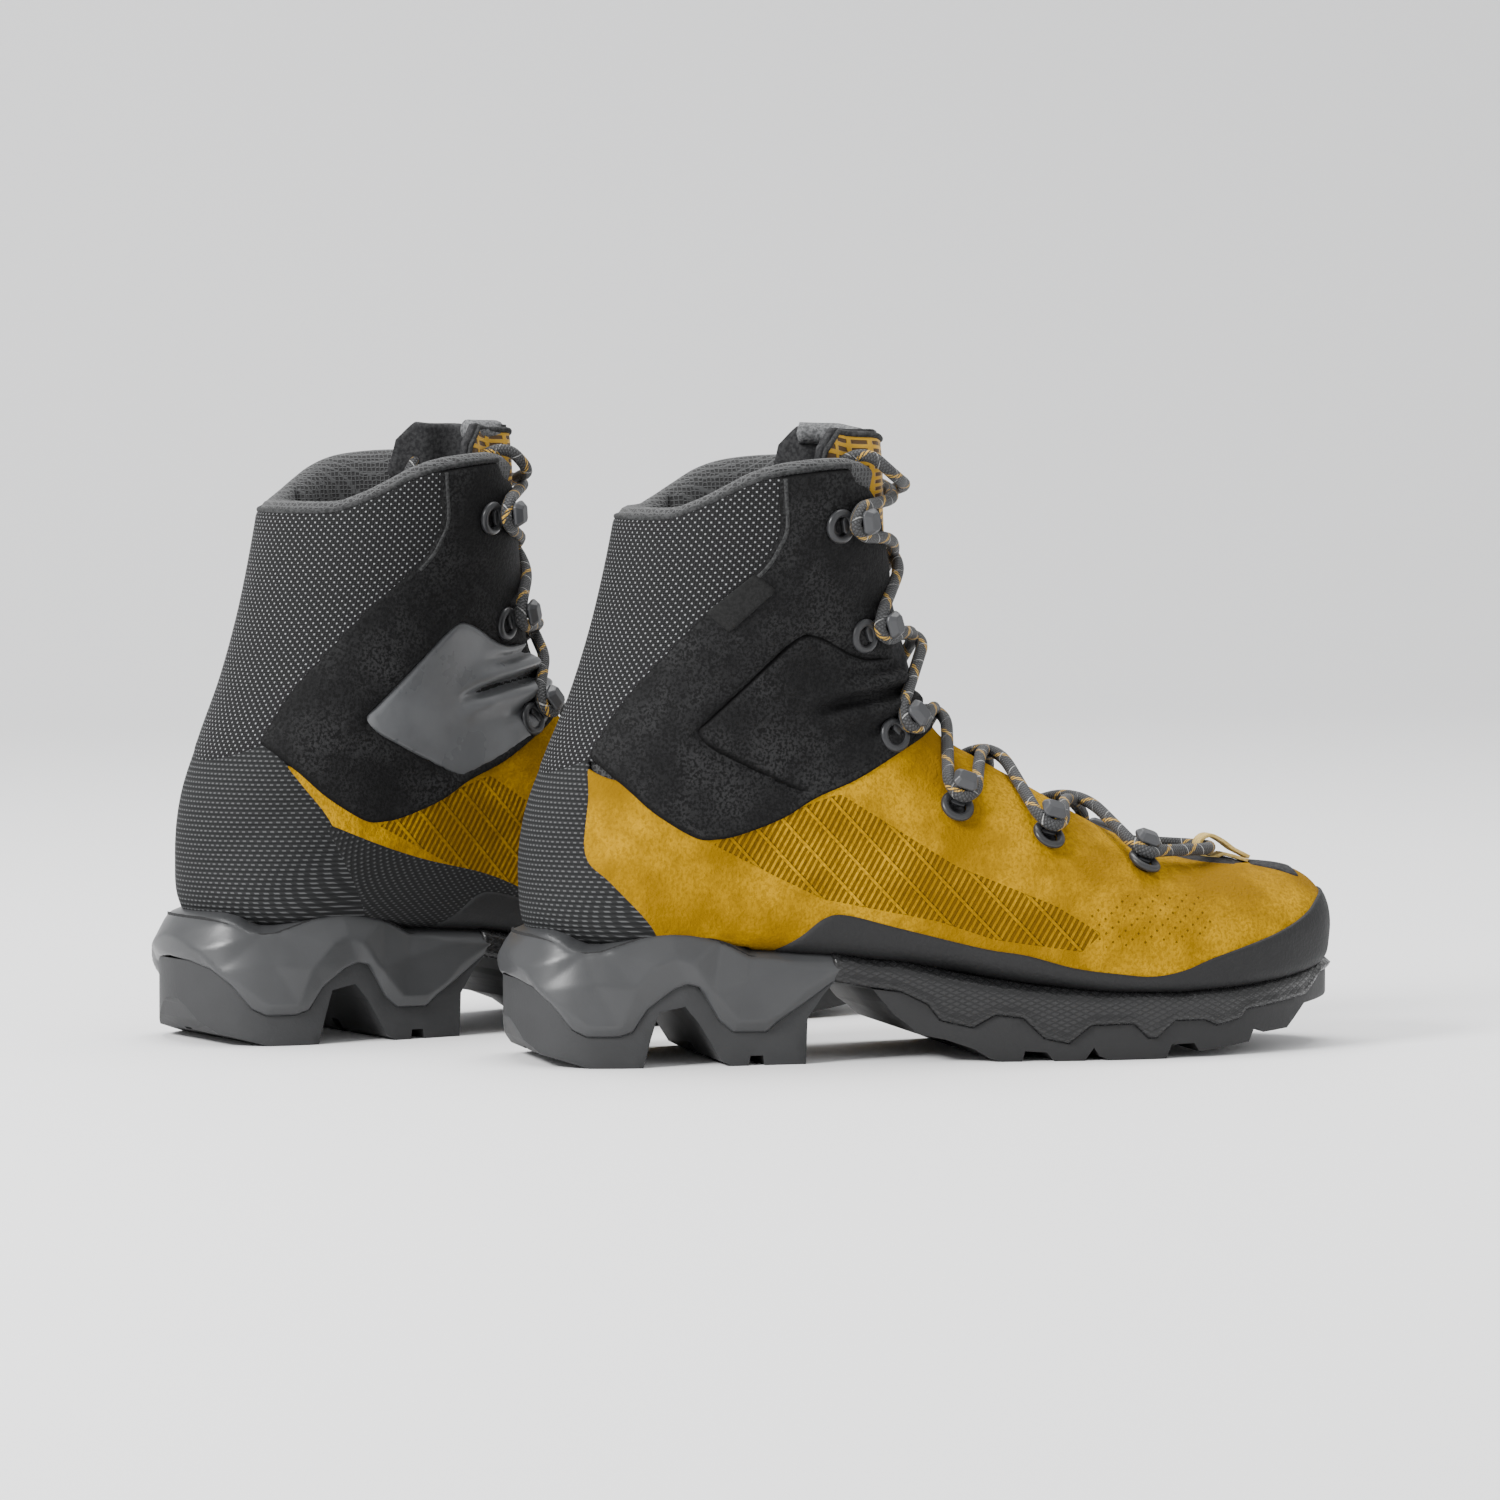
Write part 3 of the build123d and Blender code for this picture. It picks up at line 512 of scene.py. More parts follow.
def dottedMesh(tree):
    # staggered light dashes on a dark knit, whose loops carry painted light and whose dips carry painted shade
    look = meshLook
    x, y = cloth(tree, "cloth")[0], cloth(tree, "side")[1]
    pitch = look["pitch"]
    here = both(tree, ramp(tree, wave(tree, x, pitch), 0.70, 0.86), ramp(tree, wave(tree, y, pitch), 0.70, 0.88))
    between = both(tree, ramp(tree, wave(tree, x, pitch, pitch / 2), 0.70, 0.86),
                   ramp(tree, wave(tree, y, pitch, pitch / 2), 0.70, 0.88))
    dots = sums(tree, "MAXIMUM", here, between)
    knit = both(tree, wave(tree, x, 0.9), wave(tree, y, 0.7))
    # painted light and shade: a darker and a lighter copy of the knit colour, mixed by the same knit wave that makes
    # the bump, so the dips read dark and the loops light
    colour = mix(tree, ramp(tree, knit, 0.1, 0.7), shade(tree, look["colour"], 0.55), shade(tree, look["colour"], 1.5))
    worn = ramp(tree, grain(tree, 700.0), 0.25, 0.5, 0.55, 1.0)
    colour = mix(tree, both(tree, dots, worn), colour, look["dot"] + (1.0,))
    height = sums(tree, "ADD", sums(tree, "MULTIPLY", knit, 0.5), sums(tree, "MULTIPLY", dots, 0.6))
    finish(tree, colour, look["roughness"], height, 0.00035, **{"Specular IOR Level": 0.15})


knitLook = {"colour": (0.018, 0.0185, 0.019), "dash": (0.10, 0.102, 0.104), "rib": 1.7, "dash pitch": 2.0}


def ribbedKnit(tree):
    # level ribs with light dashes along their lower edge, offset from rib to rib; the ribs carry painted light on their
    # crests and painted shade in their grooves
    look = knitLook
    x, y = cloth(tree, "cloth")[0], cloth(tree, "side")[1]
    rib = wave(tree, y, look["rib"])
    row = sums(tree, "FLOOR", sums(tree, "DIVIDE", y, look["rib"]))
    offset = sums(tree, "ADD", x, sums(tree, "MULTIPLY", row, 0.95))
    dash = both(tree, ramp(tree, wave(tree, offset, look["dash pitch"]), 0.40, 0.62), ramp(tree, rib, 0.55, 0.85))
    # painted light and shade: the rib wave that raises the bump also mixes a darker copy of the colour into the grooves
    # and a lighter copy onto the crests
    colour = mix(tree, rib, shade(tree, look["colour"], 0.6), shade(tree, look["colour"], 1.2))
    colour = mix(tree, both(tree, dash, 0.8), colour, look["dash"] + (1.0,))
    fine = both(tree, wave(tree, x, 0.8), wave(tree, y, 0.65))
    height = sums(tree, "ADD", rib, sums(tree, "MULTIPLY", fine, 0.35))
    finish(tree, colour, 0.84, height, 0.00035, **{"Specular IOR Level": 0.15})


weaveLook = {"colour": (0.016, 0.0163, 0.0166), "light": (0.062, 0.063, 0.064), "pitch": 1.4}


def weave(tree):
    # a diagonal basket weave, with painted light on the thread tops and painted shade in the dips
    look = weaveLook
    x, y = cloth(tree, "cloth", 45.0)
    threads = both(tree, wave(tree, x, look["pitch"]), wave(tree, y, look["pitch"]))
    # painted light and shade: the thread wave that makes the bump also darkens the dips and lightens the thread tops
    colour = mix(tree, ramp(tree, threads, 0.25, 0.9), shade(tree, look["colour"], 0.7), look["light"] + (1.0,))
    finish(tree, colour, 0.8, threads, 0.0003, **{"Specular IOR Level": 0.2})


def plainCloth(colour, light, scale, depth=0.0003, rough=0.85):
    # gives the builder of a plain knit in these two tones
    def build(tree):
        # a fine knit seen through its own small loops
        speck = grain(tree, scale, 3.0, 0.6)
        tone = mix(tree, ramp(tree, speck, 0.35, 0.65), colour + (1.0,), light + (1.0,))
        finish(tree, tone, rough, speck, depth, **{"Specular IOR Level": 0.2})
    return build


def quilted(tree):
    # the lining: small hexagonal cells, with painted light on their raised walls and painted shade in their middles
    cell = add(tree, "TexVoronoi", {"Vector": add(tree, "TexCoord", out=3), "Scale": 620.0, "Randomness": 0.25},
               feature="DISTANCE_TO_EDGE")
    lip = ramp(tree, cell, 0.05, 0.22)
    # painted light and shade: the raised cell walls get the lighter grey and the sunk cell middles the darker one, by
    # the same value that makes the bump
    tone = mix(tree, lip, (0.050, 0.051, 0.052, 1.0), (0.010, 0.010, 0.0105, 1.0))
    finish(tree, tone, 0.85, sums(tree, "SUBTRACT", 1.0, lip), 0.0003, **{"Sheen Weight": 0.08})


def moulded(colour, rough, depth=0.00006, scale=1500.0, spotted=0.15, coat=0.0):
    # gives the builder of a moulded rubber or plastic in this colour
    def build(tree):
        # rubber or plastic: nearly even colour, fine skin, slight patches of wear in the gloss
        speck = grain(tree, scale, 2.0, 0.5)
        patch = grain(tree, 40.0, 4.0, 0.6)
        tone = mix(tree, ramp(tree, patch, 0.3, 0.7), shade(tree, colour, 1 - spotted),
                   shade(tree, colour, 1 + spotted))
        finish(tree, tone, ramp(tree, patch, 0.3, 0.7, rough - 0.05, rough + 0.06), speck, depth,
               **{"Coat Weight": coat, "Coat Roughness": 0.2, "Specular IOR Level": 0.35})
    return build


scaleLook = {"colour": (0.004, 0.004, 0.0043), "light": (0.012, 0.012, 0.0125), "length": 4.4, "height": 2.0}


def scales(tree):
    # glossy lozenges in slanting rows, with painted light on their raised middles
    look = scaleLook
    x, y = cloth(tree, "cloth")
    a = sums(tree, "ADD", sums(tree, "DIVIDE", x, look["length"]), sums(tree, "DIVIDE", y, look["height"]))
    b = sums(tree, "SUBTRACT", sums(tree, "DIVIDE", x, look["length"]), sums(tree, "DIVIDE", y, look["height"]))
    lozenge = sums(tree, "MINIMUM", wave(tree, a, 1.0), wave(tree, b, 1.0))
    # painted light: the lozenge value that raises the bump also lifts the raised middles to the light tone, leaving the
    # grooves at the dark base colour
    tone = mix(tree, ramp(tree, lozenge, 0.1, 0.45), look["colour"] + (1.0,), look["light"] + (1.0,))
    finish(tree, tone, ramp(tree, lozenge, 0.1, 0.5, 0.45, 0.25), ramp(tree, lozenge, 0.05, 0.55), 0.00006,
           **{"Specular IOR Level": 0.4})


laceLook = {"colour": (0.046, 0.047, 0.049), "dark": (0.010, 0.010, 0.0105), "yellow": (0.52, 0.30, 0.03),
            "light": (0.42, 0.42, 0.41), "pitch": 3.4}


def braid(tree):
    # strands crossing round the cord, with yellow and light flecks on some of them, and painted shade in the grooves
    # between strands
    look = laceLook
    x, y = cloth(tree, "cloth")
    around = sums(tree, "MULTIPLY", y, 6.0)
    run = sums(tree, "DIVIDE", x, look["pitch"])
    a = wave(tree, sums(tree, "ADD", sums(tree, "MULTIPLY", run, 3.0), around), 1.0)
    b = wave(tree, sums(tree, "SUBTRACT", sums(tree, "MULTIPLY", run, 3.0), around), 1.0)
    strand = sums(tree, "MINIMUM", a, b)
    # painted shade: the strand value that makes the bump also darkens the grooves between strands to the dark tone
    tone = mix(tree, ramp(tree, strand, 0.05, 0.55), look["dark"] + (1.0,), look["colour"] + (1.0,))
    spiral = sums(tree, "ADD", sums(tree, "DIVIDE", x, 15.0), y)
    fleck = both(tree, ramp(tree, wave(tree, spiral, 1.0), 0.84, 0.90), ramp(tree, a, 0.3, 0.55))
    other = sums(tree, "SUBTRACT", sums(tree, "DIVIDE", x, 9.0), y)
    pale = both(tree, ramp(tree, wave(tree, other, 1.0), 0.90, 0.95), ramp(tree, b, 0.4, 0.6))
    tone = mix(tree, fleck, tone, look["yellow"] + (1.0,))
    tone = mix(tree, both(tree, pale, 0.7), tone, look["light"] + (1.0,))
    finish(tree, tone, 0.72, strand, 0.0004, **{"Sheen Weight": 0.05})


ladderLook = {"colour": (0.50, 0.27, 0.004), "dark": (0.07, 0.032, 0.002), "cell": 5.2, "rung": 2.3}


def ladderMesh(tree):
    # open mesh: columns of level slots
    look = ladderLook
    x, y = cloth(tree, "cloth")
    cell = both(tree, ramp(tree, wave(tree, x, look["cell"]), 0.22, 0.34),
                ramp(tree, wave(tree, y, look["rung"]), 0.40, 0.60))
    speck = grain(tree, 900.0)
    tone = mix(tree, cell, shade(tree, look["colour"], 1.0), look["dark"] + (1.0,))
    height = sums(tree, "SUBTRACT", sums(tree, "MULTIPLY", speck, 0.2), cell)
    finish(tree, tone, 0.8, height, 0.0005, **{"Sheen Weight": 0.2})


materials = {
    "yellow_nubuck": material("yellow nubuck", nubuck),
    "black_microfibre": material("black microfibre", microfibre),
    "dotted_mesh": material("dotted mesh", dottedMesh),
    "heel_knit": material("heel knit", ribbedKnit),
    "arch_fabric": material("arch fabric", weave),
    "rand_rubber": material("rand rubber", moulded((0.010, 0.010, 0.0105), 0.70, 0.00030, 800.0)),
    "board": material("board", moulded((0.30, 0.26, 0.20), 0.8)),
    "lining_mesh": material("lining mesh", quilted),
    "footbed_fabric": material("footbed fabric", plainCloth((0.05, 0.05, 0.052), (0.09, 0.09, 0.092), 600.0)),
    "tongue_fabric": material("tongue fabric", plainCloth((0.012, 0.012, 0.013), (0.030, 0.030, 0.031), 700.0)),
    "tongue_knit": material("tongue knit", plainCloth((0.065, 0.066, 0.068), (0.16, 0.162, 0.165), 900.0, 0.0005)),
    "yellow_mesh": material("yellow mesh", ladderMesh),
    "grey_tpu": material("grey frame", moulded((0.042, 0.043, 0.0445), 0.34, 0.00002, 1500.0, 0.05)),
    "midsole_compound": material("midsole scales", scales),
    "heel_rubber": material("heel rubber", moulded((0.026, 0.0265, 0.0275), 0.66, 0.00010, 800.0)),
    "sole_rubber": material("sole rubber", moulded((0.013, 0.013, 0.0135), 0.60, 0.00010, 800.0)),
    "hook_enamel": material("hook enamel", moulded((0.022, 0.0225, 0.024), 0.34, 0.00002, 1500.0, 0.08)),
    "hook_block": material("hook block", moulded((0.045, 0.046, 0.049), 0.36, 0.00002, 1500.0, 0.05)),
    "rivet_metal": material("rivet", moulded((0.006, 0.006, 0.0065), 0.4)),
    "pale_webbing": material("pale webbing", plainCloth((0.40, 0.28, 0.08), (0.52, 0.38, 0.14), 900.0)),
    "lace_braid": material("lace braid", braid),
    "label_fabric": material("label fabric", plainCloth((0.007, 0.007, 0.007), (0.013, 0.013, 0.013), 900.0, 0.0002)),
    "grey_knit": material("grey binding", plainCloth((0.016, 0.0163, 0.0166), (0.040, 0.0405, 0.041), 900.0, 0.0004)),
    "flex_film": material("flex insert", moulded((0.10, 0.103, 0.107), 0.30, 0.00004, 600.0)),
}
print("materials made")


# cutting panels out of the surface
def cutFlat(outline, spacing, rows, holes=()):
    # a flat pattern inside the outline: points, triangles facing up, distance of each point to the rim
    rim = [evenly(loop, spacing * 0.9, closed=True) for loop in (outline, *holes)]
    inner = spread(rim[0], spacing, rows)
    for hole in rim[1:]:
        inner = inner[~insideOf(inner, hole)]
        inner = inner[gapTo(inner, hole) > 0.4 * spacing]
    flat = np.concatenate(rim + [inner])
    edges, start = [], 0
    for loop in rim:
        edges += [(start + k, start + (k + 1) % len(loop)) for k in range(len(loop))]
        start += len(loop)
    found = delaunay_2d_cdt([Vector(p) for p in flat], edges, [], 0, 1e-6)
    flat = np.array([tuple(v) for v in found[0]])
    triangles = np.array([f for f in found[2] if len(f) == 3])
    middle = flat[triangles].mean(1)
    keep = insideOf(middle, rim[0])
    for hole in rim[1:]:
        keep &= ~insideOf(middle, hole)
    triangles = triangles[keep]
    ab, ac = flat[triangles[:, 1]] - flat[triangles[:, 0]], flat[triangles[:, 2]] - flat[triangles[:, 0]]
    turned = ab[:, 0] * ac[:, 1] - ab[:, 1] * ac[:, 0] < 0
    triangles[turned] = triangles[turned][:, ::-1]
    used = np.unique(triangles)
    renumber = np.zeros(len(flat), int)
    renumber[used] = np.arange(len(used))
    flat, triangles = flat[used], renumber[triangles]
    gap = gapTo(flat, rim[0])
    for hole in rim[1:]:
        gap = np.minimum(gap, gapTo(flat, hole))
    return flat, triangles, gap


def closeSheet(top, bottom, triangles, uv, values):
    # the top, the bottom turned over, and a strip between them along every edge that has one triangle
    count = len(top)
    sides = np.concatenate([triangles[:, [0, 1]], triangles[:, [1, 2]], triangles[:, [2, 0]]])
    key = np.sort(sides, 1)
    key = key[:, 0] * count + key[:, 1]
    _, first, often = np.unique(key, return_index=True, return_counts=True)
    rimEdges = sides[first[often == 1]]
    strip = np.stack([rimEdges[:, 1], rimEdges[:, 0], rimEdges[:, 0] + count, rimEdges[:, 1] + count], -1)
    return {"points": np.concatenate([top, bottom]),
            "faces": [np.concatenate([triangles, triangles[:, ::-1] + count]), strip],
            "uv": {label: np.concatenate([pairs, pairs]) for label, pairs in uv.items()},
            "values": {label: np.concatenate([numbers, numbers]) for label, numbers in values.items()}}


def cutPanel(outline, lift, spacing=None, depth=1.2, edgeRound=1.1, relief=None, values=None):
    # top = skin + normal * (lift * rounded edge + relief), bottom = skin - normal * depth.
    # The rounded edge is sqrt(1 - (1 - gap / edgeRound)^2) of the distance to the rim.
    flat, triangles, gap = cutFlat(toCut(outline), spacing or step, (edgeRound * 0.3, edgeRound))
    where = fromCut(flat)
    base, normal = skin(where[:, 0], where[:, 1]), skinNormal(where[:, 0], where[:, 1])
    rounded = np.sqrt(np.clip(1 - (1 - np.minimum(gap / edgeRound, 1)) ** 2, 0, 1))
    height = lift * rounded
    if relief:
        height = height + relief(base, where, gap) * rounded
    numbers = {"edge": gap}
    numbers.update({label: rule(base) for label, rule in (values or {}).items()})
    return closeSheet(base + normal * height[:, None], base - normal * depth, triangles,
                      {"side": base[:, [0, 2]], "cloth": flat}, numbers)


def within(polygon):
    # distance inside a side-view outline, below 0 outside it
    outline = np.asarray(polygon, float)

    def rule(base):
        # distance to the outline, positive inside, negative outside
        places = base[:, [0, 2]]
        return np.where(insideOf(places, outline), 1, -1) * gapTo(places, outline)
    return rule


throatRows = np.array([(60, 6), (66.5, 9), (75, 11.5), (95, 13), (118, 13), (130, 14), (146, 17), (158, 21), (167, 16),
                       (176, 14), (185, 17), (192, 20), (200, 24), (206, 29), (209, 34), (230, 40)], float)


def throatEdge(s):
    # the edge of the lacing gap: its half width by the height of the front ridge, rounded to nothing at the toe end
    s = np.asarray(s, float)
    half = np.interp(stationAt(s)[:, 3], throatRows[:, 0], throatRows[:, 1])
    half = half * np.sqrt(np.clip((s - 2.84) / 0.5, 0, 1))
    return np.stack([s, turnAcross(s, np.maximum(half, 0.3))], -1)


def untilThroat(places):
    # the part of a seam that stays behind the throat edge
    edge = throatEdge(places[:, 0])
    return places[places[:, 1] < edge[:, 1] - 0.3]


def shifted(points, dx=0.0, dz=0.0):
    # each side-view point plus (dx, dz)
    return [(x + dx, z + dz) for x, z in points]


panels = {}

# vamp: one piece of brushed leather over the whole foot
vampLook = {"lift": 0.4, "tuck": 3.0}
bandOutline = [(65, 79), (80, 84.5), (98, 91), (113, 95.5), (128, 86), (154, 69.5), (189, 55), (205, 45), (198, 38.7),
               (167, 43.3), (147, 50), (106, 58.4), (89, 66.7)]
perforationOutline = [(200, 52), (214, 58), (246, 57), (250, 45), (236, 41), (205, 40)]
lower = seam(shifted(ankleLower[1:], 0, vampLook["tuck"]))
lower = untilThroat(lower)
heelEdge = seam(shifted(heelFront[::-1], -vampLook["tuck"], 0))
throatRun = throatEdge(np.linspace(lower[-1, 0], 2.86, 60))
randUnder = seam(shifted(randTop, 0, -vampLook["tuck"]))
randUnder = randUnder[randUnder[:, 1] < 178.5]
vampHalf = np.concatenate([randUnder[::-1], [[8.9, 30.0]], heelEdge[heelEdge[:, 1] > 20], lower, throatRun[1:]])
vampOutline = np.concatenate([vampHalf, otherSide(vampHalf)])
panels["vamp"] = cutPanel(vampOutline, vampLook["lift"], values={"band": within(bandOutline),
                                                                  "perforation": within(perforationOutline)})
print("vamp", len(panels["vamp"]["points"]))

# rand: rubber band between the vamp and the sole
randLook = {"lift": 1.4, "edgeRound": 1.4}
randUpper = seam(randTop)
randUpper = randUpper[randUpper[:, 1] < 179.0]
randLower = seam(randFoot)
randHalf = np.concatenate([[[-toeDome, 6.0], [-0.3, 6.0], [0.0, 8.0], [0.6, 12.0]], randLower[::-1], randUpper])
randOutline = np.concatenate([randHalf, otherSide(randHalf)])
panels["rand"] = cutPanel(randOutline, randLook["lift"], edgeRound=randLook["edgeRound"])
print("rand", len(panels["rand"]["points"]))

# heel fabric, collar panel: both go round the back
heelLook = {"lift": 0.6, "tuck": 3.0}
medialHeel = [(24.7, 112), (36, 96), (46, 82.5), (54, 66), (62, 50), (66, 40)]
heelLateral = seam([(24.7, 112)] + heelFront[1:-1] + [(50, 40)])
heelMedial = seam(medialHeel)
heelOutline = np.concatenate([heelLateral, otherSide(heelMedial, 0.0)])
panels["heel fabric"] = cutPanel(heelOutline, heelLook["lift"])

collarLook = {"lift": 0.9, "edgeRound": 1.6}
topCurve = smooth(collarTop, 2.0)


def topHeight(x):
    # height of the top edge at a side-view x, by interpolation
    return np.interp(x, topCurve[:, 0], topCurve[:, 1])


def topStation(turn):
    # the station at which the surface reaches the top line of the collar, by bisection
    low, high = np.full(len(turn), 14.0), np.full(len(turn), 19.0)
    for _ in range(24):
        middle = (low + high) / 2
        at = skin(middle, turn)
        above = at[:, 2] > topHeight(at[:, 0])
        low, high = np.where(above, low, middle), np.where(above, middle, high)
    return low


frontSeam = seam(shifted(collarFront, 3.0, 0)[::-1])
frontSeam = frontSeam[frontSeam[:, 0] < topStation(frontSeam[:, 1]) - 0.02]
turns = np.linspace(frontSeam[-1, 1], 0, 40)
topRun = np.stack([topStation(turns), turns], -1)
collarHalf = np.concatenate([frontSeam, topRun[1:]])
collarOutline = np.concatenate([collarHalf, otherSide(collarHalf[:-1], 0.0)])
panels["collar panel"] = cutPanel(collarOutline, collarLook["lift"], edgeRound=collarLook["edgeRound"])
print("heel and collar", len(panels["collar panel"]["points"]))

# ankle panels: one on each side, from the vamp to the top of the cuff
ankleLook = {"lift": 1.3, "edgeRound": 1.3, "insertLift": 1.5, "foldDepth": 3.2, "foldBulge": 2.8}
insertOutline = [(60, 118), (66, 124), (92, 147.5), (99.9, 152), (108, 150), (118, 145), (126.5, 142.6), (138, 143.5),
                 (150, 146.5), (150, 124), (141, 112), (128, 106), (104.7, 96), (96, 97.5), (66, 112)]
creases = [((102, 124.4), (120, 128.4), (141, 131)), ((113, 137), (127, 138.5), (143, 141)),
           ((122, 116), (133, 119), (143, 122))]


def foldRelief(base, where, gap):
    # a dent along each crease and a soft bulge beside it, fading towards its rear end
    height = np.zeros(len(base))
    places = base[:, [0, 2]]
    for number, crease in enumerate(creases):
        line = smooth(crease, 1.5)
        off = gapTo(places, line, closed=False)
        fade = np.clip((base[:, 0] - crease[0][0] + 4) / 16, 0, 1) * (1.0 if number == 0 else 0.5)
        height += fade * (ankleLook["foldBulge"] * np.exp(-(((off - 5.0) / 3.6) ** 2))
                          - ankleLook["foldDepth"] * np.exp(-((off / 1.9) ** 2)))
    return height


def ankleRelief(base, where, gap):
    # the panel sinks round the insert and swells a little in between
    off = within(insertOutline)(base)
    clear = np.clip((gap - 3.5) / 2.5, 0, 1)
    return (-1.9 * np.clip((off + 1.8) / 1.8, 0, 1) + 0.6 * np.exp(-(((off + 5) / 3.5) ** 2))) * clear


lowerSeam = untilThroat(seam(ankleLower))
backSeam = seam(collarFront)
backSeam = backSeam[backSeam[:, 0] < topStation(backSeam[:, 1]) - 0.02]
edgeStations = np.linspace(lowerSeam[-1, 0], 17.9, 110)
edgeRun = throatEdge(edgeStations)
edgeRun = edgeRun[edgeRun[:, 0] < topStation(edgeRun[:, 1]) - 0.04]
turns = np.linspace(edgeRun[-1, 1] - 3, backSeam[0, 1] + 1, 30)
crest = np.stack([topStation(turns) - 0.03, turns], -1)
ankleOutline = np.concatenate([lowerSeam, edgeRun[1:], crest, backSeam[:-1]])
ankleOther = np.concatenate([lowerSeam, edgeRun[1:], crest, backSeam[:-1]])
ankleOther = otherSide(ankleOther)
panels["ankle panels"] = together([cutPanel(o, ankleLook["lift"], edgeRound=ankleLook["edgeRound"], relief=ankleRelief)
                                   for o in (ankleOutline, ankleOther)])
insertSeam = smooth([(x, z) for x, z in insertOutline], 1.5, closed=True)
insertPlaces = placeOf(insertSeam)
insertEdge = throatEdge(insertPlaces[:, 0])
insertPlaces[:, 1] = np.minimum(insertPlaces[:, 1], insertEdge[:, 1] - 1.5)
panels["flex insert"] = cutPanel(insertPlaces, ankleLook["insertLift"], edgeRound=3.0, relief=foldRelief,
                                 spacing=step * 0.8)
panels["medial insert"] = cutPanel(otherSide(insertPlaces), ankleLook["insertLift"] - 0.3, edgeRound=2.0,
                                   relief=foldRelief, spacing=step * 0.8)
print("ankle panels", len(panels["ankle panels"]["points"]))

# arch panel on the medial side, label, toe patch
archLook = {"lift": 0.75}
archOutline = seam([(43, 81.5), (65, 72.5), (85, 66), (113, 59), (138, 48), (158, 38)])
archBottom = seam([(158, 30), (110, 34), (70, 37), (62, 42), (52, 62), (43, 81)])
panels["arch panel"] = cutPanel(otherSide(np.concatenate([archOutline, archBottom[:-1]])), archLook["lift"])
labelLook = {"corners": [(63, 160), (80, 174), (88, 168), (71, 153)], "lift": 2.1}
labelEdge = evenly(np.array(labelLook["corners"], float), 1.0, closed=True)
panels["label"] = cutPanel(placeOf(labelEdge), labelLook["lift"], spacing=1.2, depth=-0.4, edgeRound=0.5)
patchLook = {"half": 11.0, "lift": 0.9}
patchStations = np.array([(2.9, 0.5), (2.9, 7.0), (2.5, 9.5), (2.15, 11.0), (2.02, 10.0), (2.0, 0.5)])
patchHalf = np.stack([patchStations[:, 0], turnAcross(patchStations[:, 0], patchStations[:, 1])], -1)
patchOutline = np.concatenate([patchHalf, otherSide(patchHalf)])
panels["toe patch"] = cutPanel(patchOutline, patchLook["lift"], spacing=1.4)
print("small panels")

# lining, binding, tongue
liningLook = {"columns": 121, "bulge": 1.6, "groove": 1.5, "grooveAt": 0.40}


def liningPart():
    # a closed sleeve: at each turn the profile goes over the rolled top edge, down the inside and back up outside
    look = liningLook
    share = np.linspace(-1, 1, look["columns"])
    turnEnd = turnAcross(np.array([17.5]), np.array([26.0]))[0]
    turns = share * turnEnd
    tops = topStation(np.abs(turns))
    rolled = [(-0.45, 1.4), (-0.16, 0.5), (-0.02, 0.1), (0.08, 0.5), (0.16, 1.6), (0.19, 3.4), (0.17, 5.4), (0.09, 7.2),
              (-0.06, 8.5), (-0.3, 9.4), (-0.7, 9.8), (-1.2, 9.4)]
    inner = [(16.2, 8.8), (15.6, 8.6), (15.0, 9.2), (14.3, 9.6), (13.6, 9.0), (13.0, 8.2), (12.4, 7.2), (11.6, 6.2),
             (10.6, 5.8), (9.0, 5.8), (7.0, 5.8), (5.0, 5.8), (4.0, 5.8)]
    rows = [(tops + ds, np.full(len(tops), inset)) for ds, inset in rolled]
    rows += [(np.full(len(tops), s), np.full(len(tops), inset)) for s, inset in inner]
    front = len(rows)
    for s, inset in rows[::-1]:
        behind = np.interp(s, [11, 13, 15], [3.9, 3.0, 2.2])
        rows.append((np.minimum(s, tops - 0.5), np.minimum(behind, 2.2) if inset[0] < 3 else behind))
    s, inset = np.array([r[0] for r in rows]), np.array([r[1] for r in rows])
    groove = np.exp(-(((np.abs(share) - look["grooveAt"]) / 0.018) ** 2))
    puffy = look["bulge"] * np.exp(-(((s - tops + 0.9) / 0.8) ** 2)) * (1 - groove)
    padded = np.clip((inset - 6.5) / 2, 0, 1)
    inset = inset + (puffy - groove * look["groove"]) * padded
    turnGrid = np.broadcast_to(turns, s.shape)
    points = skin(np.clip(s, 4, 19), turnGrid, inset)
    points[..., 2] += np.clip(s - 19, 0, 1) * 12
    count, columns = s.shape
    faces = gridFaces(count, columns, wrapRows=True)[:, ::-1]
    k = np.arange(front - 1)
    caps = []
    for column, turned in ((0, False), (columns - 1, True)):
        quads = np.stack([k, k + 1, count - 2 - k, count - 1 - k], -1) * columns + column
        caps.append(quads if turned else quads[:, ::-1])
    return {"points": points.reshape(-1, 3), "faces": [np.concatenate([faces] + caps)[:, ::-1]],
            "uv": {"cloth": points.reshape(-1, 3)[:, :2]}, "values": {}}


panels["collar lining"] = liningPart()
bindLook = {"radius": 1.0, "inset": 0.0}
bindTurns = np.linspace(-1, 1, 120) * (edgeRun[-1, 1] - 2)
bindPath = skin(topStation(np.abs(bindTurns)) + 0.03, bindTurns, bindLook["inset"])
frontBind = [fs for fs in frontSeam[::-1] if fs[0] > 16.2]
frontPaths = [skin(np.array(frontBind)[:, 0], np.array(frontBind)[:, 1] * sign, -0.7) for sign in (1, -1)]
panels["collar binding"] = together([tube(bindPath, bindLook["radius"], 10)]
                                    + [tube(evenly(path, 1.5), 1.0, 10) for path in frontPaths])

tongueLook = {"rows": 90, "columns": 41, "thick": 5.0, "rollRadius": 3.9, "bindRadius": 1.1, "drop": 0.4}


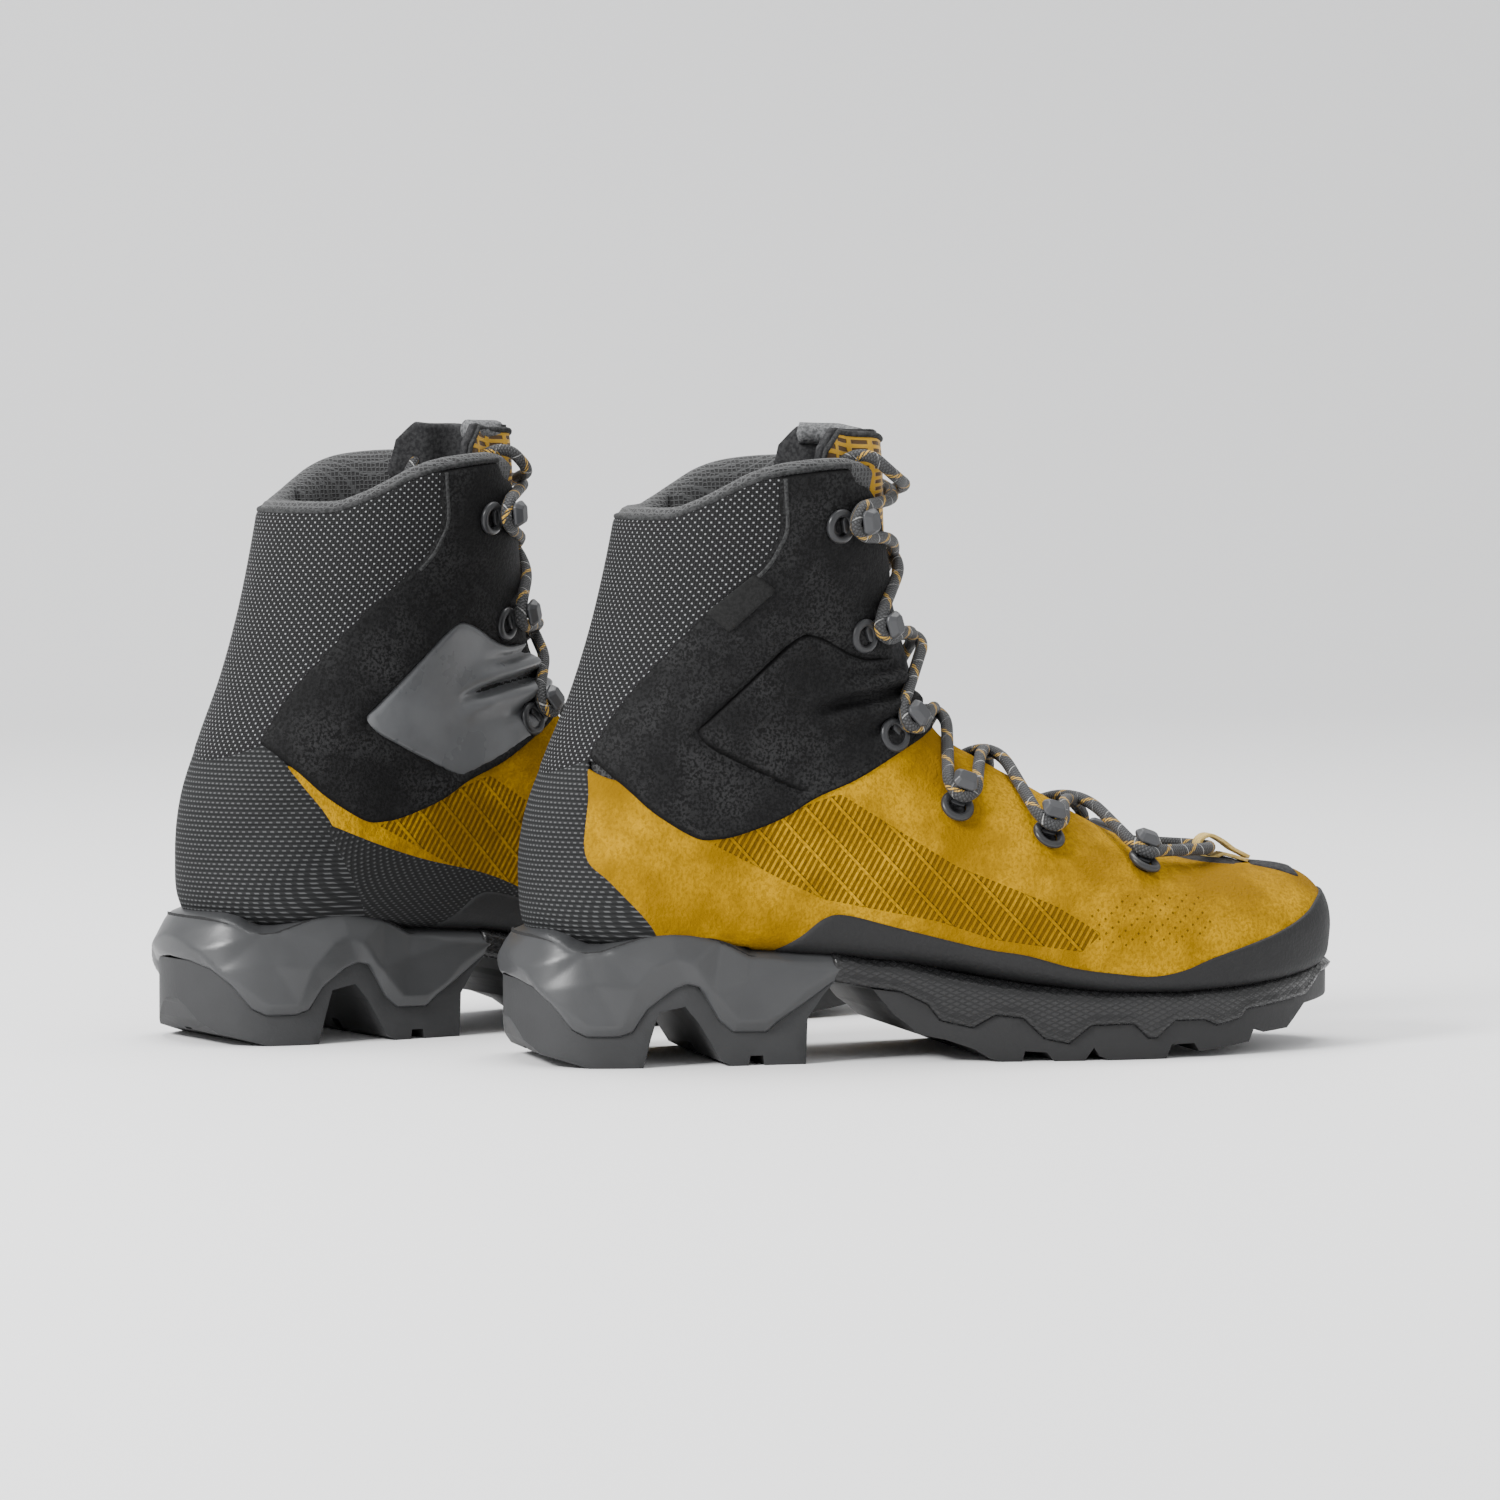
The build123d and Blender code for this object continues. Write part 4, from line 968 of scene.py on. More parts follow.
def strip(s, half, insetTop, insetFoot, columns, drop=0.0):
    # a closed slab across the front: for each station, points from -half to half at two depths
    share = np.linspace(-1, 1, columns)
    y = share[None, :] * half[:, None]
    sGrid = s[:, None] - drop * np.clip((s[:, None] - 15.5) / 3, 0, 1) ** 2 * (1 - share[None, :] ** 2)
    turn = turnAcross(sGrid.ravel(), np.maximum(np.abs(y).ravel(), 0.02)).reshape(y.shape)
    turn = np.where(y > 0, 360 - turn, turn)
    over = np.clip(sGrid - 19, 0, 2)
    sheets = [skin(sGrid, turn, inset(sGrid, y, share)) for inset in (insetTop, insetFoot)]
    for sheet in sheets:
        sheet[..., 2] += over * 16
    count = len(s)
    faces = gridFaces(count, columns)
    total = count * columns
    ring = np.concatenate([np.arange(columns), np.arange(1, count) * columns + columns - 1,
                           (count - 1) * columns + np.arange(columns - 2, -1, -1),
                           np.arange(count - 2, 0, -1) * columns])
    after = np.roll(ring, -1)
    rim = np.stack([ring, after, after + total, ring + total], -1)
    points = np.concatenate([sheet.reshape(-1, 3) for sheet in sheets])
    run = np.concatenate([[0], np.cumsum(np.linalg.norm(np.diff(sheets[0][:, columns // 2], axis=0), axis=1))])
    uv = np.stack([y.ravel(), np.repeat(run, columns)], -1)
    return {"points": points, "faces": [faces, (faces + total)[:, ::-1], rim[:, ::-1]],
            "uv": {"cloth": np.concatenate([uv, uv])},
            "values": {}}, sheets[0]


stripStations = np.linspace(2.75, 13.1, tongueLook["rows"])
stripHalf = np.interp(stripStations, [2.7, 3.0, 3.6, 5.0, 13.2], [8, 10, 13, 19, 22])
panels["tongue strip"], _ = strip(stripStations, stripHalf,
                                  lambda s, y, a: np.interp(s, [2.7, 3.2, 4.6, 6], [1.0, -1.2, -1.0, 1.4]) + 1.0 * a**2,
                                  lambda s, y, a: 6.0 + 0 * y, tongueLook["columns"])
padStations = np.linspace(12.7, 19.0, 80)
padHalf = np.interp(padStations, [12.7, 15, 16.6, 17.3, 18.0, 18.6, 19.0], [21, 23, 27, 34, 39, 37, 31])


def padInset(s, y, share):
    # under the eyestay in the middle, drawn in behind the lining towards its edges near the top
    wing = np.clip((np.abs(y) - 18) / 10, 0, 1) * np.clip((s - 15.2) / 1.2, 0, 1)
    return 1.2 + 1.2 * share**2 + wing**2 * (3 - 2 * wing) * 8.5


def padBack(s, y, share):
    # the padding's inner side: full thickness in the middle, half of it at the edges
    return padInset(s, y, share) + tongueLook["thick"] * (1 - 0.5 * share**4)


def faceFront(s, y, share):
    # the open mesh bulges a little off the padding
    return padInset(s, y, share) - 0.8 * np.sqrt(1 - share**2) - 0.3


def faceBack(s, y, share):
    # sunk into the padding, so that no gap shows
    return padInset(s, y, share) + 0.8


panels["tongue pad"], padTop = strip(padStations, padHalf, padInset, padBack, tongueLook["columns"],
                                     tongueLook["drop"])
faceStations = np.linspace(13.2, 18.85, 70)
faceHalf = np.interp(faceStations, [13.2, 15, 16.6, 17.3, 17.9, 18.5, 18.85], [12, 14, 18, 31, 38, 36, 29.5])
panels["tongue face"], faceTop = strip(faceStations, faceHalf, faceFront, faceBack, 31, tongueLook["drop"])
bindEdge = np.concatenate([faceTop[:, 0], faceTop[-1, 1:-1], faceTop[::-1, -1]])
panels["tongue binding"] = tube(evenly(bindEdge, 1.6), tongueLook["bindRadius"], 10)
rollEdge = padTop[-1, tongueLook["columns"] * 58 // 100:-2] * (1, 0.9, 1) + (-4.0, 0, -2.2)
panels["tongue roll"] = tube(evenly(smooth(rollEdge[::3], 2.0), 1.8), tongueLook["rollRadius"], 14)
print("lining and tongue")

# hooks
hookLook = {"ringRadius": 4.8, "ringTube": 1.5, "lift": 1.4, "blockHalf": (3.7, 4.5), "blockAt": 6.9,
            "blockHigh": 3.6}


def frameAt(s, turn, side):
    # origin, towards the throat, along the throat, and outwards, where a plane touches the skin
    turn = turn if side < 0 else 360 - turn
    here = skin(s, turn)
    across = skin(s, turn - side * 2.0) - here
    across /= np.linalg.norm(across)
    up = skin(s + 0.1, turn) - here
    up /= np.linalg.norm(up)
    normal = np.cross(across, up) if side < 0 else np.cross(up, across)
    normal /= np.linalg.norm(normal)
    return here, across, np.cross(normal, across), normal


def fromFrame(where, points):
    # origin + a * across + b * along + c * outwards
    origin, u, v, w = where
    points = np.asarray(points, float)
    return origin + points[..., :1] * u + points[..., 1:2] * v + points[..., 2:] * w


def stack(sections):
    # rings of equal count one over the other, closed with a fan at each end
    rings = np.array(sections, float)
    count, corners = rings.shape[:2]
    points = np.concatenate([rings.reshape(-1, 3), rings[0].mean(0)[None], rings[-1].mean(0)[None]])
    j = np.arange(corners)
    m = (j + 1) % corners
    foot, top = count * corners, count * corners + 1
    fans = np.concatenate([np.stack([np.full(corners, foot), m, j], -1),
                           np.stack([np.full(corners, top), (count - 1) * corners + j, (count - 1) * corners + m], -1)])
    return {"points": points, "faces": [gridFaces(count, corners, wrapColumns=True), fans],
            "uv": {"cloth": points[:, :2]}, "values": {}}


def octagon(halfU, halfV, cut, w, u=0.0):
    # a rectangle with its corners cut off, at one height
    return [(u + a, b, w) for a, b in ((halfU, -halfV + cut), (halfU, halfV - cut), (halfU - cut, halfV),
                                       (-halfU + cut, halfV), (-halfU, halfV - cut), (-halfU, -halfV + cut),
                                       (-halfU + cut, -halfV), (halfU - cut, -halfV))]


def circle(radius, w, u=0.0, corners=20):
    # (u + r cos a, r sin a, w) at even angles
    angle = np.linspace(0, 2 * np.pi, corners, endpoint=False)
    return np.stack([u + radius * np.cos(angle), radius * np.sin(angle), np.full(corners, w)], -1)


def ringPart(number):
    # a ring, a strap that joins it to the post, and the post
    look = hookLook
    at = -ringGaps[number]
    angle = np.linspace(0, 2 * np.pi, 36, endpoint=False)
    path = np.stack([at + look["ringRadius"] * np.cos(angle), look["ringRadius"] * np.sin(angle),
                     np.full(36, look["lift"] + 0.7)], -1)
    path[:, 2] -= 0.009 * path[:, 0] ** 2 * (number > 2)
    strap = stack([octagon(-at / 2 + 0.5, 3.0, 0.8, w, at / 2 + 1.0) for w in (look["lift"] - 0.6, look["lift"] + 0.9)])
    post = stack([circle(2.1, w) for w in (look["lift"] - 0.4, look["blockAt"] + 1.0)])
    return together([tube(path, look["ringTube"], 12, closed=True, flatten=0.85), strap, post])


def blockPart(number):
    # the cap: four octagons, wider in the middle and smaller on top
    look = hookLook
    u, v = look["blockHalf"]
    low = look["blockAt"]
    return stack([octagon(u - 0.6, v - 0.5, 1.2, low), octagon(u, v, 1.3, low + 0.7),
                  octagon(u, v, 1.3, low + 0.45 * look["blockHigh"]),
                  octagon(u - 1.7, v - 1.3, 1.0, low + look["blockHigh"], 0.4)])


def rivetPart(number):
    # five circles over the ring middle, hollow in the last
    at = -ringGaps[number]
    lift = hookLook["lift"] - 0.009 * at**2 * (number > 2)
    return stack([circle(3.6, lift - 1.6, at), circle(3.6, lift - 0.4, at), circle(3.0, lift - 0.1, at),
                  circle(1.7, lift - 0.1, at), circle(1.4, lift - 0.7, at)])


rowFrames = {}
rowAt = placeOf(rowPlaces)
for sideSign in (-1, 1):
    for number in range(len(rowPlaces)):
        rowFrames[(sideSign, number)] = frameAt(rowAt[number, 0], rowAt[number, 1], sideSign)


def atRows(part, rows):
    # the part at both sides of the given rows, its shape turned over on the medial side so it faces out
    made = []
    for number in rows:
        shape = part(number)
        for sideSign in (-1, 1):
            where = rowFrames[(sideSign, number)]
            handed = np.dot(np.cross(where[1], where[2]), where[3]) < 0
            made.append({"points": fromFrame(where, shape["points"]),
                         "faces": [f[:, ::-1] if handed else f for f in shape["faces"]],
                         "uv": shape["uv"], "values": {}})
    return together(made)


footRows, cuffRows = (0, 1, 2, 3), (4, 5)
panels["lower hooks"] = atRows(ringPart, footRows)
panels["lower hook blocks"] = atRows(blockPart, footRows)
panels["cuff hooks"] = atRows(ringPart, cuffRows)
panels["cuff hook blocks"] = atRows(blockPart, cuffRows)
panels["foot rivets"] = atRows(rivetPart, footRows)
panels["cuff rivets"] = atRows(rivetPart, cuffRows)

# lace: from the tucked end on one side, down to the toe loop and up to the other
cordLook = {"radius": 2.2, "height": 5.0, "low": 3.8, "high": 8.5, "topCrossing": 17.2, "spacing": 0.9,
            "atRow": 3.8, "topExtra": 2.5}
wrapPlaces = [(-1.0, -5.4), (-6.4, 0.0), (-1.0, 5.4)]
loopBend = [(257.0, 13.5, 71.6), (262.0, 4.0, 71.6), (262.0, -4.0, 71.6), (257.0, -13.5, 71.6)]
tuck = [(137.0, 24.5, 207.0), (125.0, 26.5, 217.0), (110.0, 20.0, 208.0), (105.0, 18.0, 192.0), (104.0, 18.0, 177.0)]


def overRidge(s, height):
    # the front ridge at a station, moved out by height across its own direction
    x, z = stationAt(s)[2:4]
    xb, zb = stationAt(s - 0.2)[2:4]
    length = math.hypot(x - xb, z - zb)
    return np.array((x + (z - zb) / length * height, 0, z - (x - xb) / length * height))


def wrapPoints(side, number):
    # the places where the cord goes round a post
    return [fromFrame(rowFrames[(side, number)], (u, -side * v, cordLook["height"])) for u, v in wrapPlaces]


def crossingRun(number, first, side):
    # to the next row: over the other strand in one go, or under it with a point on each flank
    middle = (rowAt[number, 0] + rowAt[number + 1, 0]) / 2
    if first == (number % 2 == 0):
        return [overRidge(middle, cordLook["high"])]
    turn, nextTurn = (rowAt[number, 1] + 180) / 2, (rowAt[number + 1, 1] + 180) / 2
    before = frameAt((rowAt[number, 0] + middle) / 2, turn, side)
    after = frameAt((middle + rowAt[number + 1, 0]) / 2, nextTurn, -side)
    return [fromFrame(before, (0, 0, cordLook["atRow"])), overRidge(middle, cordLook["low"]),
            fromFrame(after, (0, 0, cordLook["atRow"]))]


def strandPoints(first):
    # one of the two strands, zigzag from row to row, then over the top
    side = -1 if first else 1
    points = []
    for number in range(len(rowPlaces)):
        here = side if number % 2 == 0 else -side
        points += wrapPoints(here, number)
        if number + 1 < len(rowPlaces):
            run = crossingRun(number, first, here)
            if number == footRows[-1]:
                points.append((points[-1] + run[0]) / 2)
            points += run
    top = cordLook["topCrossing"]
    over = [overRidge(top, cordLook["high"] + cordLook["topExtra"])]
    if not first:
        flank = frameAt((rowAt[-1, 0] + top) / 2, 160, -side)
        over = [fromFrame(flank, (0, 0, cordLook["atRow"])), overRidge(top, cordLook["low"])]
    return points + over + [np.array((x, side * y, z)) for x, y, z in tuck]


def filleted(points):
    # each corner becomes an arc that touches both runs at 0.45 of the shorter one, drawn as a cubic
    out = [points[0]]
    for before, here, after in zip(points, points[1:], points[2:]):
        a, b = here - before, after - here
        run = 0.45 * min(np.linalg.norm(a), np.linalg.norm(b))
        a, b = a / np.linalg.norm(a), b / np.linalg.norm(b)
        angle = math.acos(np.clip(a @ b, -1, 1))
        radius = run / max(math.tan(angle / 2), 1e-6)
        handle = 4 / 3 * math.tan(angle / 4) * radius
        start, end = here - a * run, here + b * run
        t = np.linspace(0, 1, 12)[:, None]
        out.extend((1 - t) ** 3 * start + 3 * (1 - t) ** 2 * t * (start + a * handle)
                   + 3 * (1 - t) * t**2 * (end - b * handle) + t**3 * end)
    return np.array(out + [points[-1]])


lacePath = strandPoints(False)[::-1] + [np.array(p) for p in loopBend] + strandPoints(True)
lacePath = evenly(filleted(lacePath), cordLook["spacing"] * (1))
panels["lace"] = tube(lacePath, cordLook["radius"], 14)
print("lace", len(lacePath) * cordLook["spacing"])

# toe loop
loopLook = {"half": 4.0, "thick": 0.65}
loopPath = np.stack([262.0 + 4.15 * np.cos(np.radians(np.linspace(300, 60, 30))), np.zeros(30),
                     71.6 + 4.15 * np.sin(np.radians(np.linspace(300, 60, 30)))], -1)
tailTop = np.array([(267.0, 0, 73.6), (271.0, 0, 70.6), (277.0, 0, 67.6)])
tailFoot = np.array([(276.5, 0, 66.3), (271.0, 0, 68.0), (267.0, 0, 69.0)])
loopPath = evenly(np.concatenate([tailFoot, loopPath[::1], tailTop]), 1.0)


def ribbon(path, half, thick):
    # a strap: the path moved to both sides of itself, and across
    along = np.gradient(path, axis=0)
    along /= np.linalg.norm(along, axis=1, keepdims=True)
    normal = np.stack([-along[:, 2], np.zeros(len(path)), along[:, 0]], -1)
    corners = [(-half, -thick), (half, -thick), (half, thick), (-half, thick)]
    rings = np.stack([path + normal * t + np.array((0, y, 0)) for y, t in corners], 1)
    return stack(rings)


panels["toe loop"] = ribbon(loopPath, loopLook["half"], loopLook["thick"])

# sole: heel frame and midsole band
solePlan = [(0, 0), (3, -15), (12, -29), (28, -36.5), (55, -39), (90, -38.5), (120, -39.5), (150, -45.5),
            (180, -51), (212, -54), (242, -51.5), (268, -42), (290, -26), (304, -8), (308.5, 6), (303, 20),
            (288, 33.5), (266, 42.5), (240, 46.5), (212, 47), (180, 43), (150, 38.5), (120, 36), (90, 37),
            (55, 38.5), (28, 36.5), (12, 29), (3, 15)]
frameTop = [(-5, 49.5), (6, 49), (11, 47), (15, 44.6), (20, 43.2), (26, 43.6), (42, 49.0), (51, 50.3), (60, 49.4),
            (71, 46.5), (81, 41), (111, 40.2), (123, 37.2), (134, 34), (146, 29)]
frameLower = [(-5, 31.5), (2, 30.3), (6, 27.5), (10.5, 22), (16.5, 13.4), (21, 11), (32, 11), (37, 12.7),
              (42.3, 20.8), (51.7, 27.6), (56.6, 29.3), (60.6, 28.3), (63, 24.7), (68, 16.2), (73, 12),
              (85.5, 11.7), (90.2, 15.6), (100, 22), (110, 29), (134, 27), (146, 27)]
midsoleTop = [(110, 40.2), (123, 37.2), (134, 36), (150, 32.2), (165, 29.3), (182, 26.9), (204, 25), (236, 23.9),
              (262, 25.4), (285, 28.4), (300, 31.2), (312, 33)]
midsoleLower = [(110, 29), (134, 25), (143, 20.5), (147.3, 14.8), (159, 12), (166.7, 16.5), (176.3, 15.4),
                (184, 8), (193, 6), (201, 12.4), (216.6, 12.6), (222, 7.4), (225.4, 7.4), (232.3, 13.4),
                (244.2, 13.2), (249, 11), (259, 13), (261.4, 16), (290.6, 19), (299, 26), (312, 27)]
# side-view places and how far the heel frame's facets stand out there
facetPoints = [(-1, 49.5, -5.5), (11, 46, -4.5), (20, 41.3, -3.0), (26, 41.8, -2.8), (42, 48.6, -4.2),
               (51, 50.3, -4.6), (60, 49.4, -4.4), (71, 46.5, -4.2), (81, 41, -3.6), (111, 40.2, -3.6),
               (123, 37.2, -3.0), (147, 29, -0.4), (-1, 41, 0.4), (3.4, 34.8, 2.8), (7.9, 27.3, 3.1),
               (13.4, 21.7, 3.3), (21.8, 14.5, 2.6), (32.1, 14.3, 2.6), (37.9, 28.7, 3.0), (46, 37, 2.8),
               (52, 39, 2.3), (58, 37, 2.8), (65.3, 26.6, 3.0), (74.8, 15.8, 2.6), (85.4, 15.6, 2.6),
               (91, 18.6, 2.6), (100, 27, 2.2), (112, 33.5, 1.6), (134, 30.5, 0.6), (-1, 31.5, 0.6),
               (6, 27.5, 0.9), (10.5, 22, 0.9), (16.5, 13.4, 0.8), (21, 11, 0.7), (32, 11, 0.7), (37, 12.7, 0.7),
               (42.3, 20.8, 1.0), (51.7, 27.6, 1.0), (56.6, 29.3, 1.0), (63, 24.7, 1.0), (68, 16.2, 0.8),
               (73, 12, 0.7), (85.5, 11.7, 0.7), (90.2, 15.6, 0.8), (100, 22, 0.7), (110, 29, 0.5), (134, 27, 0),
               (147, 27, -0.4), (24, 30, 1.0), (52, 46, -1.6), (78, 30, 1.1), (95, 35, 1.4)]
planLine = smooth(solePlan, 0.5, closed=True)
planRun = np.concatenate([[0], np.cumsum(np.linalg.norm(np.diff(planLine, axis=0), axis=1))])
planLength = planRun[-1] + np.linalg.norm(planLine[0] - planLine[-1])
toeAt = int(np.argmax(planLine[:, 0]))


def alongPlan(x, medial=False):
    # the side-view x as a distance along the plan outline, from the back of the heel, lateral or medial
    if medial:
        line, run = planLine[:toeAt - 1:-1], planLength - planRun[:toeAt - 1:-1]
        keep = np.maximum.accumulate(line[:, 0]) == line[:, 0]
        return -np.interp(x, line[keep, 0], run[keep])
    line, run = planLine[: toeAt + 1], planRun[: toeAt + 1]
    return np.interp(x, line[:, 0], run)


def planPlace(run, z, out):
    # the place on the outline at that run, moved outwards along its normal
    run = np.mod(run, planLength)
    closed = np.concatenate([planLine, planLine[:1]])
    lengths = np.concatenate([planRun, [planLength]])
    at = np.stack([np.interp(run, lengths, closed[:, k]) for k in (0, 1)], -1)
    ahead = np.stack([np.interp(np.mod(run + 1.5, planLength), lengths, closed[:, k]) for k in (0, 1)], -1)
    behind = np.stack([np.interp(np.mod(run - 1.5, planLength), lengths, closed[:, k]) for k in (0, 1)], -1)
    along = ahead - behind
    along /= np.linalg.norm(along, axis=1, keepdims=True)
    return np.stack([at[:, 0] + along[:, 1] * out, at[:, 1] - along[:, 0] * out, z], -1)


def facetHeight(x, z):
    # straight interpolation over the triangles of the facet points
    data = np.array(facetPoints, float)
    found = delaunay_2d_cdt([Vector(p[:2]) for p in facetPoints], [], [], 0, 1e-6)
    height = np.full(len(x), -9.0)
    for a, b, c in found[2]:
        (ax, az, ah), (bx, bz, bh), (cx, cz, ch) = data[a], data[b], data[c]
        area = (bx - ax) * (cz - az) - (cx - ax) * (bz - az)
        u = ((bx - x) * (cz - z) - (cx - x) * (bz - z)) / area
        v = ((cx - x) * (az - z) - (ax - x) * (cz - z)) / area
        w = 1 - u - v
        hit = (u > -0.001) & (v > -0.001) & (w > -0.001)
        height[hit] = (u * ah + v * bh + w * ch)[hit]
    return np.where(height < -8, 0.4, height)


def wallPanel(upper, lower, centre, spacing, depth, edgeRound, relief):
    # a band round the plan outline between two side-view lines; out = rounded edge * relief, back = -depth
    lines = []
    for medial in (False, True):
        top = np.stack([alongPlan(np.array(upper)[:, 0], medial), np.array(upper, float)[:, 1]], -1)
        foot = np.stack([alongPlan(np.array(lower)[:, 0], medial), np.array(lower, float)[:, 1]], -1)
        if centre == "toe" and medial:
            top[:, 0] += planLength
            foot[:, 0] += planLength
        lines.append((top, foot))
    (topA, footA), (topB, footB) = lines
    if centre == "heel":
        outline = np.concatenate([topB[::-1], topA[1:], footA[::-1], footB[1:]])
    else:
        outline = np.concatenate([topA, topB[::-1][1:], footB, footA[::-1][1:]])
    flat, triangles, gap = cutFlat(outline, spacing, (edgeRound * 0.4, edgeRound))
    probe = planPlace(flat[:, 0], flat[:, 1], 0.0)
    rounded = np.sqrt(np.clip(1 - (1 - np.minimum(gap / edgeRound, 1)) ** 2, 0, 1))
    line = np.array(sorted(upper), float)
    below = np.interp(probe[:, 0], line[:, 0], line[:, 1]) - flat[:, 1]
    lip = 6.5 * np.clip(1 - below / 3.4, 0, 1) ** 1.5   # the top edge leans in on the upper
    out = relief(probe, gap) - (1 - rounded) * 0.9 - lip
    back = np.minimum(-depth, out - 1.2)
    return closeSheet(planPlace(flat[:, 0], flat[:, 1], out), planPlace(flat[:, 0], flat[:, 1], back), triangles,
                      {"side": probe[:, [0, 2]], "cloth": flat}, {"edge": gap})


bandLook = {"stand": 0.9, "bead": 0.9, "beadAt": 1.6}


def bandRelief(probe, gap):
    # a bead runs along the rim
    return bandLook["stand"] + bandLook["bead"] * np.exp(-(((gap - bandLook["beadAt"]) / 0.7) ** 2))


panels["heel frame"] = wallPanel(frameTop, frameLower, "heel", step * 0.8, 6.0, 1.0,
                                 lambda p, g: facetHeight(p[:, 0], p[:, 2]))
panels["midsole band"] = wallPanel(midsoleTop, midsoleLower, "toe", step * 0.8, 1.0, 0.9, bandRelief)
coreLook = {"inset": 3.0, "under": 2.6, "over": 0.6}


def midsoleCore():
    # the slab between the outsole and the board: plan outline moved inwards, top and foot from the side-view lines
    run = np.linspace(0, planLength, 180, endpoint=False)
    outline = planPlace(run, 0 * run, -coreLook["inset"])[:, :2]
    flat, triangles, gap = cutFlat(outline, 4.0, ())
    topLine = np.array(frameTop[:-2] + midsoleTop[2:], float)
    footLine = np.array(frameLower[:-2] + midsoleLower[2:], float)
    top = np.interp(flat[:, 0], topLine[:, 0], topLine[:, 1]) - coreLook["under"]
    foot = np.interp(flat[:, 0], footLine[:, 0], footLine[:, 1]) + coreLook["over"]
    sheets = [np.stack([flat[:, 0], flat[:, 1], z], -1) for z in (top, foot)]
    return closeSheet(*sheets, triangles, {"side": sheets[0][:, [0, 2]], "cloth": flat}, {"edge": gap})


panels["midsole"] = midsoleCore()
print("sole", len(panels["heel frame"]["points"]), len(panels["midsole band"]["points"]))

# the pieces of each boot: shape, material, body or bodies, and what they stand for
pieceTable = [
    ("vamp", "yellow_nubuck", "foot", ["vamp"]),
    ("rand", "rand_rubber", "foot", ["rand"]),
    ("heel fabric", "heel_knit", "foot", ["heel_fabric"]),
    ("arch panel", "arch_fabric", "foot", ["arch_panel"]),
    ("collar panel", "dotted_mesh", "ankle", ["collar_panel"]),
    ("ankle panels", "black_microfibre", "ankle", ["ankle_panel_lower", "ankle_panel_upper"]),
    ("flex insert", "black_microfibre", "ankle", ["flex_gusset"]),
    ("medial insert", "flex_film", "ankle", []),
    ("label", "label_fabric", "cuff", ["label"]),
    ("toe patch", "tongue_fabric", "foot", []),
    ("collar lining", "lining_mesh", "ankle", ["collar_lining", "bootie"]),
    ("collar binding", "grey_knit", "cuff", []),
    ("tongue strip", "tongue_fabric", "ankle", ["tongue_base"]),
    ("tongue pad", "tongue_fabric", "tongue", ["tongue_pad"]),
    ("tongue face", "yellow_mesh", "tongue", ["tongue_face"]),
    ("tongue binding", "grey_knit", "tongue", []),
    ("tongue roll", "tongue_knit", "tongue", []),
    ("lower hooks", "hook_enamel", "foot", ["lower_hooks"]),
    ("lower hook blocks", "hook_block", "foot", []),
    ("cuff hooks", "hook_enamel", "cuff", ["cuff_hooks"]),
    ("cuff hook blocks", "hook_block", "cuff", []),
    ("foot rivets", "rivet_metal", "foot", ["foot_rivets"]),
    ("cuff rivets", "rivet_metal", "cuff", ["cuff_rivets"]),
    ("lace", "lace_braid", "ankle", ["lace_lower", "lace_upper"]),
    ("toe loop", "pale_webbing", "foot", ["toe_loop"]),
    ("heel frame", "grey_tpu", "foot", ["heel_frame"]),
    ("midsole band", "midsole_compound", "foot", []),
    ("midsole", "rand_rubber", "foot", ["midsole"]),
]
hardEdged = {"lower hooks": (0.3, 2), "lower hook blocks": (0.35, 2), "cuff hooks": (0.3, 2),
             "cuff hook blocks": (0.35, 2), "toe loop": (0.25, 2)}
flatShaded = ("lower hook blocks", "cuff hook blocks")
slope = np.array((-0.17, 0.0, 0.985))
hingeRun = {"ankle": (ankle - 8 * slope, ankle + 16 * slope),
            "tongue": (tongueFoot - (0, 0, 1), tongueFoot + (0, 0, 16))}
for side in ("right", "left"):
    for name, look, rides, stands in pieceTable:
        part = panels[name]
        made = makeMesh(side + "_" + name.replace(" ", "_"), side, part["points"], part["faces"], materials[look],
                        part["uv"], part["values"], name not in flatShaded)
        if name in hardEdged:
            width, segments = hardEdged[name]
            bevel = made.modifiers.new("rounded edges", "BEVEL")
            bevel.width, bevel.segments, bevel.limit_method, bevel.angle_limit = width / 1000, segments, "ANGLE", 0.6
            bevel.harden_normals = False
        if rides in hingeRun:
            start, end = (tuple(place(p, side)) for p in hingeRun[rides])
            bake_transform(made)
            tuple(start)
            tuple(end)
        else:
            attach(made, side + "_" + rides)
        if stands:
            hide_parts(*[side + "_" + node for node in stands])

cadLooks = {"outsole_heel": "heel_rubber", "outsole_forefoot": "sole_rubber", "footbed": "footbed_fabric",
            "insole_board": "board", "heel_counter": "board", "toe_puff": "board", "shank": "rivet_metal"}
for side in ("right", "left"):
    for node, look in cadLooks.items():
        solid = frame["nodes"][side + "_" + node]
        solid.data.materials.clear()
        solid.data.materials.append(materials[look])
        weld = solid.modifiers.new("weld", "WELD")
        weld.merge_threshold = 0.00001
        if node.startswith("outsole"):
            bevel = solid.modifiers.new("rounded edges", "BEVEL")
            bevel.width, bevel.segments, bevel.limit_method, bevel.angle_limit = 0.0006, 2, "ANGLE", 0.6
print("pieces placed")

# stage, light and camera
stageLook = {"floor": (0.84, 0.84, 0.845), "world": (0.90, 0.905, 0.91), "worldStrength": 1.04}


def paper(tree):
    # even matt paper
    finish(tree, stageLook["floor"] + (1.0,), 0.7, **{"Specular IOR Level": 0.2})


